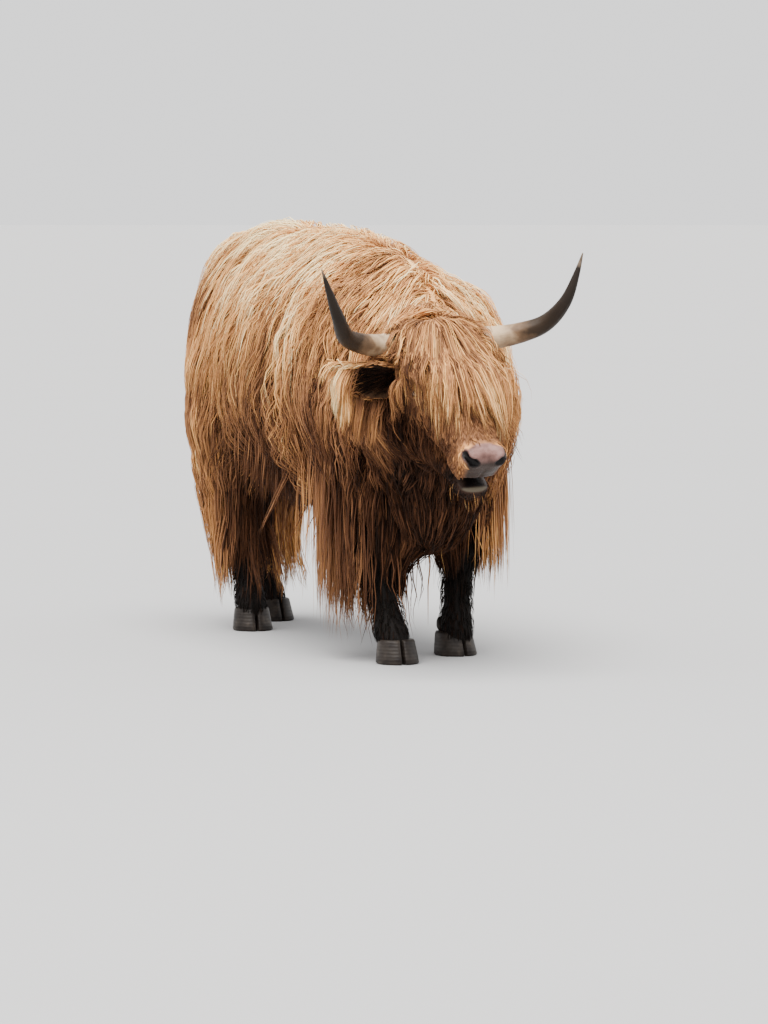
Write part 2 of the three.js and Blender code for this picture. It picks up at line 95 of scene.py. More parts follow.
def smooth_through(places: Sequence[float], values: Array, x: Array) -> Array:
    """Values at x on a smooth curve through given values.

    Args:
        places: Increasing places, one for each row of values.
        values: One row for each place.
        x: Where the curve is read. It is held at its ends outside the places.

    Returns:
        One row for each x.
    """
    places, values = np.asarray(places, float), np.asarray(values, float)
    slopes = np.gradient(values, places, axis=0)
    x = np.clip(x, places[0], places[-1])
    i = np.clip(np.searchsorted(places, x) - 1, 0, len(places) - 2)
    span = places[i + 1] - places[i]
    t = ((x - places[i]) / span)[:, None]
    span = span[:, None]
    return (
        (1 + 2 * t) * (1 - t) ** 2 * values[i] + t * (1 - t) ** 2 * span * slopes[i]
        + t * t * (3 - 2 * t) * values[i + 1] + t * t * (t - 1) * span * slopes[i + 1]
    )


def melt(a: Array, b: Array, soft: float) -> Array:
    """The union of two distances, with a rounded valley of that softness between them, near the surface."""
    h = np.maximum(soft - np.abs(a - b), 0) / soft
    nearest = np.minimum(a, b)
    return nearest - h * h * soft / 4 * np.clip(2 - 2 * nearest / PAD, 0, 1)


def carve(a: Array, b: Array, soft: float) -> Array:
    """What is left of a where b is cut away, with a rounded edge of that softness."""
    return -melt(-a, b, soft)


class HeadFrame:
    """The frame of the head, and the ways between it and the cow's frame."""

    def __init__(self) -> None:
        """Works out the turn of the head."""
        turn = Matrix.Rotation(HEAD_TURN[1], 3, "Y") @ Matrix.Rotation(HEAD_TURN[0], 3, "X")
        self.turn = np.array(turn)
        self.place = np.array(HEAD_PLACE)

    def into(self, points: Array) -> Array:
        """Points of the cow's frame in the head's."""
        return (points - self.place) @ self.turn

    def out(self, points: Array) -> Array:
        """Points of the head's frame in the cow's."""
        return points @ self.turn.T + self.place

    def aim(self, vectors: Array) -> Array:
        """Directions of the head's frame in the cow's."""
        return vectors @ self.turn.T


HEAD = HeadFrame()


# ---- Forms: solids told by how far a point is outside them ----


class Form:
    """A solid with a box around it. A point far outside the box is just called PAD away."""

    low: Array
    high: Array

    def measure(self, points: Array) -> Array:
        """How far points near the form are outside it."""
        raise NotImplementedError

    def distance(self, points: Array) -> Array:
        """How far points are outside the form, in metres, up to PAD."""
        found = np.full(len(points), PAD)
        near = np.all((points > self.low - PAD) & (points < self.high + PAD), axis=1)
        if near.any():
            found[near] = np.minimum(self.measure(points[near]), PAD)
        return found


class Ball(Form):
    """An ellipsoid, placed and turned."""

    def __init__(self, centre: Sequence[float], halves: Sequence[float], turn: Sequence[float] = (0, 0, 0)) -> None:
        """Keeps the centre, the half-lengths and the turn in radians about X, Y and Z."""
        self.centre, self.halves = np.array(centre, float), np.array(halves, float)
        self.turn = np.array(Euler(turn).to_matrix())
        reach = self.halves.max()
        self.low, self.high = self.centre - reach, self.centre + reach

    def measure(self, points: Array) -> Array:
        """How far points are outside the ellipsoid, nearly."""
        q = (points - self.centre) @ self.turn
        near = np.linalg.norm(q / self.halves, axis=1)
        slope = np.linalg.norm(q / self.halves**2, axis=1)
        return near * (near - 1) / np.maximum(slope, 1e-9)


class Limb(Form):
    """A round chain through points, each with its radius."""

    def __init__(self, nodes: Sequence[Sequence[float]], soft: float = 0.012) -> None:
        """Keeps nodes of x, y, z and radius, and how softly their stretches join."""
        self.nodes, self.soft = np.array(nodes, float), soft
        reach = self.nodes[:, 3:]
        self.low = (self.nodes[:, :3] - reach).min(axis=0)
        self.high = (self.nodes[:, :3] + reach).max(axis=0)

    def measure(self, points: Array) -> Array:
        """How far points are outside the chain."""
        found = None
        for a, b in zip(self.nodes[:-1], self.nodes[1:]):
            along = b[:3] - a[:3]
            t = np.clip((points - a[:3]) @ along / (along @ along), 0, 1)
            gap = np.linalg.norm(points - a[:3] - t[:, None] * along, axis=1) - (a[3] + t * (b[3] - a[3]))
            found = gap if found is None else melt(found, gap, self.soft)
        return found


@dataclass(frozen=True)
class Station:
    """A section across Y: its heights, its half breadth, its middle across, and how square its two halves are."""

    y: float
    top: float
    bottom: float
    mid: float
    half: float
    x: float = 0.0
    crown: float = 2.2
    keel: float = 2.2


class Barrel(Form):
    """A body through sections across Y."""

    def __init__(self, stations: Sequence[Station], soft: float) -> None:
        """Keeps the stations in the order of y, and how soft the two ends are."""
        rows = [[s.y, s.x, s.top, s.bottom, s.mid, s.half, s.crown, s.keel] for s in stations]
        self.rows, self.soft = np.array(sorted(rows)), soft
        y, x, top, bottom, _, half = self.rows[:, :6].T
        self.low = np.array([(x - half).min(), y.min(), bottom.min()])
        self.high = np.array([(x + half).max(), y.max(), top.max()])

    def measure(self, points: Array) -> Array:
        """How far points are outside the body, nearly."""
        x, top, bottom, mid, half, crown, keel = smooth_through(self.rows[:, 0], self.rows[:, 1:], points[:, 1]).T
        up = points[:, 2] - mid
        tall = np.where(up > 0, top - mid, mid - bottom)
        power = np.where(up > 0, crown, keel)
        across, rise = np.abs(points[:, 0] - x) / half, np.abs(up) / tall
        section = ((across**power + rise**power) ** (1 / power) - 1) * np.minimum(half, tall)
        end = np.maximum(points[:, 1] - self.rows[-1, 0], self.rows[0, 0] - points[:, 1])
        return -melt(-section, -end, self.soft)


class Leaf(Form):
    """A thin cupped leaf along a bent line, such as an ear."""

    POINT = 0.002  # half the breadth of its tip
    EDGE = 0.005  # how softly its rim is rounded
    NARROW = 0.03  # the cup gets flatter where half the breadth is less than this

    def __init__(self, line: Array, opens: Sequence[float], half: float, cup: float, thick: float) -> None:
        """Keeps the line, the way the cup opens, its greatest half breadth, its depth and its thickness."""
        self.line, self.opens = np.asarray(line, float), unit(np.array(opens, float))
        self.half, self.cup, self.thick = half, cup, thick
        self.chord = self.line[-1] - self.line[0]  # from root to tip
        self.shares = self.raw_share(self.line)
        self.low, self.high = self.line.min(axis=0) - half, self.line.max(axis=0) + half

    def breadth(self, share: Array) -> Array:
        """Half the breadth of the leaf at a share of its length."""
        return self.half * np.maximum(np.sin(np.pi * (0.10 + 0.90 * share)), 0) ** 0.75 + self.POINT

    def frame_at(self, share: Array) -> tuple[Array, Array, Array]:
        """The middle of the leaf, the way across it and the way it opens, at shares of its length."""
        middle = smooth_through(self.shares, self.line, share)
        along = unit(smooth_through(self.shares, self.line, share + 0.02) - smooth_through(
            self.shares, self.line, share - 0.02))
        across = unit(np.cross(along, self.opens))
        return middle, across, np.cross(across, along)

    def raw_share(self, points: Array) -> Array:
        """How far points are along the chord of the line, as a share of it."""
        return (points - self.line[0]) @ self.chord / (self.chord @ self.chord)

    def share_of(self, points: Array) -> Array:
        """The share of the length at each point, kept on the leaf."""
        return np.clip(self.raw_share(points), 0, 1)

    def measure(self, points: Array) -> Array:
        """How far points are outside the leaf, nearly."""
        share = self.share_of(points)
        middle, across, opens = self.frame_at(share)
        broad = self.breadth(share)
        offset = points - middle
        side, out = dot(offset, across), dot(offset, opens)
        beyond = np.abs(self.raw_share(points) - share) * np.linalg.norm(self.chord)
        bowl = self.cup * (side / broad) ** 2 * np.minimum(1, broad / self.NARROW)
        sheet = np.abs(out - bowl) - self.thick / 2
        edge = np.maximum(np.abs(side) - broad, beyond - 0.004)
        return carve(sheet, -edge, self.EDGE)


class InHead(Form):
    """A form written in the frame of the head."""

    def __init__(self, form: Form) -> None:
        """Keeps the form, and works out its box in the cow's frame."""
        self.form = form
        ends = np.array([[x, y, z] for x in (0, 1) for y in (0, 1) for z in (0, 1)])
        corners = HEAD.out(form.low + ends * (form.high - form.low))
        self.low, self.high = corners.min(axis=0), corners.max(axis=0)

    def measure(self, points: Array) -> Array:
        """How far points are outside the form."""
        return self.form.distance(HEAD.into(points))


# ---- Anatomy ----


class Part(Enum):
    """The parts of the body that have a coat of their own kind."""

    TRUNK = 0
    NECK = 1
    HEAD = 2
    EAR = 3
    FORELEG = 4
    HINDLEG = 5
    TAIL = 6


TRUNK_END = -0.43  # y where the neck begins

TORSO = (
    Station(0.765, 1.02, 0.74, 0.87, 0.060),
    Station(0.745, 1.085, 0.68, 0.87, 0.125),
    Station(0.70, 1.125, 0.61, 0.86, 0.185, crown=2.3),
    Station(0.60, 1.157, 0.56, 0.85, 0.232, crown=2.2),
    Station(0.45, 1.167, 0.53, 0.82, 0.262, crown=2.1),
    Station(0.22, 1.162, 0.49, 0.78, 0.292, crown=1.9, keel=2.4),
    Station(0.00, 1.146, 0.475, 0.76, 0.298, crown=1.8, keel=2.4),
    Station(-0.22, 1.121, 0.47, 0.74, 0.278, crown=1.7, keel=2.4),
    Station(-0.43, 1.066, 0.46, 0.71, 0.232, x=-0.006, crown=1.55),
    Station(-0.54, 1.022, 0.44, 0.70, 0.202, x=-0.020, crown=1.6),
    Station(-0.64, 0.978, 0.47, 0.70, 0.180, x=-0.044, crown=1.7),
    Station(-0.735, 0.938, 0.53, 0.72, 0.148, x=-0.082, crown=1.9),
    Station(-0.815, 0.900, 0.60, 0.74, 0.120, x=-0.112, crown=2.1),
    Station(-0.875, 0.850, 0.66, 0.75, 0.085, x=-0.124),
)

SKULL = (
    Station(0.030, -0.032, -0.120, -0.075, 0.070),
    Station(-0.010, -0.014, -0.150, -0.078, 0.094, crown=2.4),
    Station(-0.070, -0.004, -0.175, -0.080, 0.105, crown=2.7),
    Station(-0.140, -0.004, -0.172, -0.080, 0.103, crown=2.8),
    Station(-0.200, -0.010, -0.157, -0.077, 0.088, crown=2.6),
    Station(-0.270, -0.017, -0.148, -0.076, 0.074, crown=2.4),
    Station(-0.330, -0.020, -0.136, -0.072, 0.065, crown=2.4),
    Station(-0.370, -0.018, -0.123, -0.068, 0.0615, crown=2.6, keel=2.8),
    Station(-0.398, -0.015, -0.113, -0.064, 0.060, crown=2.8, keel=2.8),
    Station(-0.412, -0.021, -0.105, -0.062, 0.054, crown=2.7, keel=2.6),
    Station(-0.422, -0.032, -0.093, -0.062, 0.044, crown=2.4, keel=2.4),
)

MOUTH = (
    Station(-0.300, -0.134, -0.137, -0.1355, 0.030),
    Station(-0.345, -0.128, -0.140, -0.1340, 0.050),
    Station(-0.390, -0.120, -0.142, -0.1310, 0.064),
    Station(-0.450, -0.112, -0.144, -0.1280, 0.078),
)

EYE_PLACE = (0.101, -0.150, -0.058)
EYE_RADIUS = 0.0185
EYE_LOOKS = (0.93, -0.32, 0.10)  # where the left eye looks

EAR_LINES = {
    "right": [[-0.088, -0.042, -0.090], [-0.150, -0.066, -0.092], [-0.205, -0.060, -0.087],
              [-0.262, -0.038, -0.086], [-0.296, -0.016, -0.084]],
    "left": [[0.088, -0.034, -0.082], [0.122, -0.022, -0.104], [0.152, -0.004, -0.130],
             [0.174, 0.016, -0.158], [0.186, 0.030, -0.176]],
}
EAR_OPENS = {"right": (-0.10, -0.94, 0.24), "left": (0.30, -0.92, 0.20)}
TAIL_LINE = (
    (0, 0.690, 1.095, 0.038), (0, 0.758, 1.076, 0.034), (-0.004, 0.802, 1.000, 0.030),
    (-0.012, 0.824, 0.880, 0.025), (-0.018, 0.832, 0.720, 0.020), (-0.022, 0.834, 0.600, 0.017),
    (-0.026, 0.837, 0.480, 0.012), (-0.030, 0.838, 0.400, 0.008),
)


@dataclass(frozen=True)
class Leg:
    """How one leg stands: the middle of its hooves, the bend at knee and top, and the turn of its foot."""

    name: str
    x: float
    y: float
    knee: tuple[float, float]
    top: tuple[float, float]
    turn: float

    KNEE_HEIGHT = 0.300
    LEG_HEIGHT = 0.800

    @property
    def side(self) -> int:
        """1 for a left leg and -1 for a right one."""
        return 1 if self.x > 0 else -1

    @property
    def hind(self) -> bool:
        """Whether it is a hind leg."""
        return self.name.startswith("hind")

    def middle(self, z: Array) -> Array:
        """The middle of the leg at heights z, on the same bend as the solids."""
        z = np.asarray(z, float)
        low, high = self.KNEE_HEIGHT, self.LEG_HEIGHT
        at_knee = z * (high - z) / (low * (high - low))
        at_top = z * (z - low) / (high * (high - low))
        out = self.knee[0] * at_knee + self.top[0] * at_top
        back = self.knee[1] * at_knee + self.top[1] * at_top
        return np.stack([self.x + self.side * out, self.y + back, z], axis=-1)

    def chain(self, rows: Sequence[Sequence[float]]) -> Limb:
        """A round chain along the leg from rows of height, radius, way out and way back."""
        nodes = []
        for z, radius, out, back in rows:
            place = self.middle(z) + (self.side * out, back, 0)
            nodes.append([*place, radius])
        return Limb(nodes, soft=0.02)


LEGS = (
    Leg("foreleg_right", -0.130, -0.590, (0.026, 0.092), (0.105, 0.150), -6),
    Leg("foreleg_left", 0.112, -0.448, (0.014, 0.000), (0.090, 0.000), 4),
    Leg("hindleg_right", -0.135, 0.440, (0.013, 0.035), (0.090, 0.060), -8),
    Leg("hindleg_left", 0.042, 0.698, (-0.008, 0.034), (0.176, -0.143), 6),
)
FORE_ROWS = (
    (0.660, 0.076, 0.006, 0.010), (0.540, 0.074, -0.006, 0.012), (0.430, 0.062, 0, 0.008), (0.350, 0.050, 0, 0.002),
    (0.300, 0.047, 0, 0.000), (0.250, 0.038, 0, 0.006), (0.180, 0.032, 0, 0.006), (0.130, 0.032, 0, 0.004),
    (0.098, 0.038, 0, 0.004), (0.074, 0.036, 0, -0.004), (0.050, 0.036, 0, -0.008),
)
HIND_ROWS = (
    (0.720, 0.120, -0.040, -0.010), (0.620, 0.115, -0.010, -0.020), (0.520, 0.088, 0, 0.000),
    (0.440, 0.062, 0, 0.034), (0.385, 0.048, 0, 0.044), (0.300, 0.038, 0, 0.034), (0.200, 0.034, 0, 0.020),
    (0.130, 0.033, 0, 0.008), (0.098, 0.038, 0, 0.004), (0.074, 0.036, 0, -0.004), (0.050, 0.036, 0, -0.008),
)


def mirrored(values: Sequence[float], side: int) -> tuple[float, ...]:
    """A place or chain node of the left side, or its mirror image for side -1."""
    return (values[0] * side, *values[1:])


class Anatomy:
    """The body under the coat, as parts whose distances melt into one skin."""

    LID_REACH = 0.06  # a lid is only measured this near the middle of its eye
    LID_GAP, LID_HALF = 0.0030, 0.0026  # from the eye to the middle of the lid, and half its thickness
    SLIT, SLIT_LIFT = (0.46, 0.86), 0.05  # half the slit's height and length and how high it lies, in eye radii

    def __init__(self) -> None:
        """Makes the forms of every part. Each form comes with the softness of its joint."""
        self.parts: dict[Part, list[tuple[Form, float]]] = {
            Part.TRUNK: self._trunk(), Part.HEAD: self._head(), Part.EAR: self._ears(),
            Part.FORELEG: self._legs(FORE_ROWS, hind=False), Part.HINDLEG: self._legs(HIND_ROWS, hind=True),
            Part.TAIL: [(Limb(TAIL_LINE, 0.01), 0.02)],
        }
        self.joints = {Part.TRUNK: 0.03, Part.HEAD: 0.05, Part.EAR: 0.014, Part.FORELEG: 0.07,
                       Part.HINDLEG: 0.07, Part.TAIL: 0.03}
        self.cuts = self._cuts()
        self.lids = self._lids()

    def _trunk(self) -> list[tuple[Form, float]]:
        """The barrel with the neck, and the muscles over it."""
        forms: list[tuple[Form, float]] = [(Barrel(TORSO, soft=0.05), 0.02)]
        for side in SIDES.values():
            forms += [
                (Ball(mirrored((0.165, -0.33, 0.74), side), (0.093, 0.17, 0.26), (0.25, 0, 0)), 0.07),
                (Ball(mirrored((0.150, 0.53, 0.76), side), (0.108, 0.19, 0.26), (-0.15, 0, 0)), 0.07),
            ]
        forms.append((Ball((-0.030, -0.56, 0.46), (0.105, 0.13, 0.12)), 0.06))
        return forms

    def _legs(self, rows: Sequence[Sequence[float]], hind: bool) -> list[tuple[Form, float]]:
        """The two fore legs or the two hind legs."""
        return [(leg.chain(rows), 0.02) for leg in LEGS if leg.hind == hind]

    def _ears(self) -> list[tuple[Form, float]]:
        """Both ears, each a root and a cupped leaf."""
        forms: list[tuple[Form, float]] = []
        for name, side in SIDES.items():
            root = Limb([mirrored(n, side) for n in
                         ((0.078, -0.020, -0.078, 0.030), (0.112, -0.030, -0.082, 0.024))])
            leaf = Leaf(np.array(EAR_LINES[name]), EAR_OPENS[name], half=0.052, cup=0.026, thick=0.014)
            forms += [(InHead(root), 0.01), (InHead(leaf), 0.016)]
        return forms

    def _head(self) -> list[tuple[Form, float]]:
        """The skull, jaws, cheeks, brows, lips and nose."""
        forms: list[tuple[Form, float]] = [
            (Barrel(SKULL, soft=0.02), 0.02),
            (Ball((0, 0.010, -0.055), (0.088, 0.055, 0.050)), 0.03),
            (Ball((0, -0.03, -0.165), (0.086, 0.095, 0.080)), 0.03),
            (Ball((0, -0.150, -0.175), (0.054, 0.120, 0.045)), 0.03),
            (Ball((0, -0.300, -0.176), (0.034, 0.110, 0.024)), 0.02),
            (Ball((0, -0.402, -0.161), (0.046, 0.030, 0.021)), 0.015),
            (Ball((0, -0.413, -0.1510), (0.036, 0.016, 0.0105)), 0.008),
            (Ball((0, -0.387, -0.179), (0.036, 0.036, 0.018)), 0.015),
            (Limb([(0, -0.260, -0.150, 0.026), (0, -0.330, -0.152, 0.026), (0, -0.392, -0.145, 0.018)]), 0.006),
            (Ball((0, -0.397, -0.100), (0.050, 0.021, 0.014)), 0.010),
            (Limb([(-0.084, 0.004, -0.040, 0.036), (0, 0.000, -0.036, 0.038), (0.084, 0.004, -0.040, 0.036)]), 0.03),
        ]
        for side in SIDES.values():
            jaw = ((0.058, -0.055, -0.190, 0.034), (0.056, -0.130, -0.208, 0.034), (0.044, -0.220, -0.198, 0.028),
                   (0.032, -0.305, -0.180, 0.022), (0.022, -0.378, -0.166, 0.018))
            forms += [
                (Limb([mirrored(node, side) for node in jaw]), 0.02),
                (Ball(mirrored((0.068, -0.098, -0.135), side), (0.034, 0.082, 0.075)), 0.03),
                (Ball(mirrored((0.084, -0.138, -0.036), side), (0.028, 0.046, 0.024)), 0.02),
                (Ball(mirrored((0.082, -0.150, -0.086), side), (0.024, 0.044, 0.020)), 0.02),
                (Limb([mirrored(n, side) for n in ((0.062, -0.215, -0.094, 0.014), (0.050, -0.300, -0.092, 0.010))]),
                 0.03),
                (Ball(mirrored((0.038, -0.398, -0.040), side), (0.025, 0.027, 0.025)), 0.012),
                (Ball(mirrored((0.044, -0.360, -0.104), side), (0.020, 0.048, 0.024)), 0.014),
            ]
        return [(InHead(form), soft) for form, soft in forms]

    def _cuts(self) -> list[tuple[Form, float]]:
        """What is cut out of the head: mouth, nostrils, the groove of the lip, and room for the eyes."""
        cuts: list[tuple[Form, float]] = [
            (Barrel(MOUTH, soft=0.002), 0.008),
            (Limb([(0, -0.4260, -0.062, 0.0020), (0, -0.4180, -0.108, 0.0045)]), 0.006),
        ]
        for side in SIDES.values():
            flare = 0.004 * (side > 0)
            cuts += [
                (Limb([mirrored(n, side) for n in ((0.026 + flare, -0.421, -0.040, 0.0045),
                                                   (0.038 + flare, -0.418, -0.036, 0.0085 - 0.4 * flare),
                                                   (0.049 + flare, -0.408, -0.032, 0.0070 - 0.3 * flare))]), 0.005),
                (Limb([mirrored(n, side) for n in ((0.049, -0.410, -0.032, 0.0070), (0.057, -0.396, -0.028, 0.0045),
                                                   (0.0600, -0.382, -0.026, 0.0030))]), 0.005),
                (Ball(mirrored(EYE_PLACE, side), (EYE_RADIUS + 0.0006,) * 3), 0.002),
            ]
        return [(InHead(form), soft) for form, soft in cuts]

    def _lids(self) -> list[tuple[Array, Array, Array, Array]]:
        """For each eye: its place, where it looks, the way along its slit and the way up, in the cow's frame."""
        found = []
        for side in SIDES.values():
            looks = unit(np.array(mirrored(EYE_LOOKS, side)))
            slit = unit(np.cross(np.array([0.0, 0.16, 1.0]), looks)) * side
            up = np.cross(looks, slit) * side
            place = HEAD.out(np.array(mirrored(EYE_PLACE, side)))
            found.append((place, HEAD.aim(looks), HEAD.aim(slit), HEAD.aim(up)))
        return found

    def _lid_distance(self, points: Array) -> Array:
        """How far points are outside the eyelids, which hug each eye around an almond-shaped slit."""
        found = np.full(len(points), PAD)
        for place, looks, slit, up in self.lids:
            offset = points - place
            far = np.linalg.norm(offset, axis=1)
            near = far < self.LID_REACH
            q = offset[near] / far[near][:, None]
            shell = np.abs(far[near] - (EYE_RADIUS + self.LID_GAP)) - self.LID_HALF
            across, rise, out = q @ slit, q @ up, q @ looks
            half_height, half_length = self.SLIT
            almond = (np.abs(rise - self.SLIT_LIFT) - half_height * (1 - (across / half_length) ** 2)) * EYE_RADIUS
            found[near] = carve(shell, np.where(out > 0, almond, PAD), 0.002)
        return found

    def part_distance(self, part: Part, points: Array) -> Array:
        """How far points are outside one part."""
        found = np.full(len(points), PAD)
        for form, soft in self.parts[part]:
            found = melt(found, form.distance(points), soft)
        return found

    def distance(self, points: Array) -> Array:
        """How far points are outside the whole skin, in metres, up to about PAD."""
        found = np.full(len(points), PAD)
        for part, joint in self.joints.items():
            found = melt(found, self.part_distance(part, points), joint)
        for form, soft in self.cuts:
            found = carve(found, form.distance(points), soft)
        return melt(found, self._lid_distance(points), 0.004)

    def gradient(self, points: Array, step: float = 0.0015) -> tuple[Array, Array]:
        """The distance at points and the way straight out of the skin there."""
        here = self.distance(points)
        slopes = [self.distance(points + step * axis) - here for axis in np.eye(3)]
        return here, unit(np.stack(slopes, axis=1))

    def labels(self, points: Array) -> Array:
        """The value of the part that each point belongs to."""
        parts = list(self.joints)
        gaps = np.stack([self.part_distance(part, points) for part in parts])
        found = np.array([part.value for part in parts])[gaps.argmin(axis=0)]
        neck = (found == Part.TRUNK.value) & (points[:, 1] < TRUNK_END)
        return np.where(neck, Part.NECK.value, found)


# ---- Meshing the skin ----


class Lens:
    """A smooth map from even space to real space that holds the head larger, so that it gets finer faces."""

    INNER, OUTER, FINE = 0.92, 1.50, 0.30  # radii in even space, and the scale inside the inner one

    def __init__(self, focus: Array) -> None:
        """Keeps the middle of the head and tabulates the map."""
        self.focus = focus
        self.even = np.linspace(0, 6, 6001)
        scale = self.FINE + (1 - self.FINE) * ease(self.even, self.INNER, self.OUTER)
        steps = (scale[1:] + scale[:-1]) / 2 * np.diff(self.even)
        self.real = np.concatenate([[0], np.cumsum(steps)])

    def to_real(self, points: Array) -> Array:
        """Points of even space in real space."""
        offset = points - self.focus
        far = np.linalg.norm(offset, axis=1, keepdims=True)
        return self.focus + offset * (np.interp(far, self.even, self.real) / np.maximum(far, 1e-9))

    def to_even(self, points: Array) -> Array:
        """Points of real space in even space."""
        offset = points - self.focus
        far = np.linalg.norm(offset, axis=1, keepdims=True)
        return self.focus + offset * (np.interp(far, self.real, self.even) / np.maximum(far, 1e-9))

    def scale(self, points: Array) -> Array:
        """The greatest real length of a unit of even space, at points of even space."""
        far = np.linalg.norm(points - self.focus, axis=1)
        slope = self.FINE + (1 - self.FINE) * ease(far, self.INNER, self.OUTER)
        return np.maximum(slope, np.interp(far, self.even, self.real) / np.maximum(far, 1e-9))


class Mesher:
    """Turns a distance into one closed mesh of quads."""

    BLOCK = 4  # cells along a side of a block
    REACH = 1.25  # a block is measured if the surface may be this many block sizes away
    BATCH = 400_000  # places measured at a time

    def __init__(self, measure: Callable[[Array], Array], lens: Lens, low: Array, high: Array, step: float) -> None:
        """Keeps the distance, the lens, the real box to search, and the size of a cell in even space."""
        self.measure, self.lens, self.step = measure, lens, step
        ends = np.array([[x, y, z] for x in (0, 0.5, 1) for y in (0, 0.5, 1) for z in (0, 0.5, 1)])
        corners = lens.to_even(low + ends * (high - low))
        self.low = corners.min(axis=0) - 2 * step
        self.blocks = np.ceil((corners.max(axis=0) - self.low + 2 * step) / (self.BLOCK * step)).astype(int)

    def _sample(self) -> Array:
        """The distance on the fine grid, worked out only in blocks near the surface."""
        size = self.BLOCK * self.step
        index = np.stack(np.meshgrid(*[np.arange(n) for n in self.blocks], indexing="ij"), axis=-1).reshape(-1, 3)
        middles = self.low + (index + 0.5) * size
        coarse = self.measure(self.lens.to_real(middles))
        reach = self.lens.scale(middles) * size * self.REACH
        near = np.abs(coarse) < reach
        values = np.where(coarse < 0, -1.0, 1.0).astype(np.float32).reshape(self.blocks)
        for axis in range(3):
            values = np.repeat(values, self.BLOCK, axis=axis)
        cell = np.stack(np.meshgrid(*[np.arange(self.BLOCK)] * 3, indexing="ij"), axis=-1).reshape(-1, 3)
        nodes = (index[near][:, None] * self.BLOCK + cell[None]).reshape(-1, 3)
        for part in np.array_split(nodes, max(1, len(nodes) // self.BATCH)):
            found = self.measure(self.lens.to_real(self.low + part * self.step))
            values[tuple(part.T)] = found
        log.info("skin grid %s, %d nodes measured", values.shape, len(nodes))
        return values

    def build(self) -> tuple[Array, Array]:
        """The vertices in real space and the quads of the surface."""
        values = self._sample()
        inside = values < 0
        corners = [(i, j, k) for i in (0, 1) for j in (0, 1) for k in (0, 1)]
        shape = np.array(values.shape) - 1
        count = np.zeros(shape, np.uint8)
        for i, j, k in corners:
            count += inside[i:shape[0] + i, j:shape[1] + j, k:shape[2] + k]
        cells = np.argwhere((count > 0) & (count < 8))
        number = np.full(shape, -1, np.int32)
        number[tuple(cells.T)] = np.arange(len(cells))
        at_corner = {c: values[tuple((cells + c).T)] for c in corners}
        total, hits = np.zeros((len(cells), 3)), np.zeros(len(cells))
        for a in corners:
            for axis in range(3):
                if a[axis]:
                    continue
                b = tuple(1 if i == axis else a[i] for i in range(3))
                crossed = (at_corner[a] < 0) != (at_corner[b] < 0)
                share = at_corner[a] / np.where(crossed, at_corner[a] - at_corner[b], 1)
                place = np.array(a, float) + share[:, None] * (np.array(b) - np.array(a))
                total += place * crossed[:, None]
                hits += crossed
        even = self.low + (cells + total / hits[:, None]) * self.step
        quads = []
        for axis in range(3):
            first, second = (axis + 1) % 3, (axis + 2) % 3
            ahead = np.take(inside, range(1, values.shape[axis]), axis)
            here = np.take(inside, range(values.shape[axis] - 1), axis)
            edges = np.argwhere(ahead != here)
            edges = edges[(edges[:, first] > 0) & (edges[:, second] > 0)]
            edges = edges[(edges[:, first] < shape[first]) & (edges[:, second] < shape[second])]
            step_1, step_2 = np.eye(3, dtype=int)[first], np.eye(3, dtype=int)[second]
            ring = [edges - step_1 - step_2, edges - step_2, edges, edges - step_1]
            quad = np.stack([number[tuple(r.T)] for r in ring], axis=1)
            out = here[tuple(edges.T)]
            quads.append(np.where(out[:, None], quad, quad[:, ::-1]))
        return self.lens.to_real(even), np.concatenate(quads)


# ---- Meshes and node materials ----

ORIGIN = cow_origin()


def new_object(name: str, vertices: Array, loops: Array, sizes: Array) -> bpy.types.Object:
    """A smooth mesh object from points of the cow's frame.

    Args:
        name: The piece's name.
        vertices: One row for each vertex, in the cow's frame.
        loops: The numbers of the vertices around each face, one face after another.
        sizes: How many vertices each face has.

    Returns:
        The object, linked to the scene.
    """
    mesh = bpy.data.meshes.new(name)
    mesh.vertices.add(len(vertices))
    mesh.vertices.foreach_set("co", (vertices + ORIGIN).astype(np.float32).ravel())
    mesh.loops.add(len(loops))
    mesh.loops.foreach_set("vertex_index", loops.astype(np.int32))
    mesh.polygons.add(len(sizes))
    mesh.polygons.foreach_set("loop_start", (np.cumsum(sizes) - sizes).astype(np.int32))
    mesh.polygons.foreach_set("loop_total", sizes.astype(np.int32))
    mesh.polygons.foreach_set("use_smooth", np.ones(len(sizes), bool))
    mesh.update(calc_edges=True)
    made = bpy.data.objects.new(name, mesh)
    bpy.context.scene.collection.objects.link(made)
    return made


def from_faces(name: str, vertices: Array, faces: Sequence[Sequence[int]]) -> bpy.types.Object:
    """A smooth mesh object from points of the cow's frame and faces of any size."""
    return new_object(name, vertices, np.concatenate([np.asarray(face) for face in faces]),
                      np.array([len(face) for face in faces]))


def tube_faces(rows: int, n: int) -> list[tuple[int, ...]]:
    """The faces of a closed tube.

    Args:
        rows: How many rings of vertices the tube has. They come first.
        n: How many vertices each ring has. The middles of the first and the last ring come after them all.

    Returns:
        The quads between the rings, and the fans of both ends.
    """
    top = (rows - 1) * n
    faces = [(i * n + j, i * n + (j + 1) % n, (i + 1) * n + (j + 1) % n, (i + 1) * n + j)
             for i in range(rows - 1) for j in range(n)]
    faces += [(rows * n, (j + 1) % n, j) for j in range(n)]
    return faces + [(rows * n + 1, top + j, top + (j + 1) % n) for j in range(n)]


def circle(n: int) -> Array:
    """Even angles around a circle."""
    return np.linspace(0, 2 * np.pi, n, endpoint=False)


def add_values(made: bpy.types.Object, name: str, values: Array) -> None:
    """Stores one number for each vertex of a piece."""
    layer = made.data.attributes.new(name, "FLOAT", "POINT")
    layer.data.foreach_set("value", np.ascontiguousarray(values, np.float32))


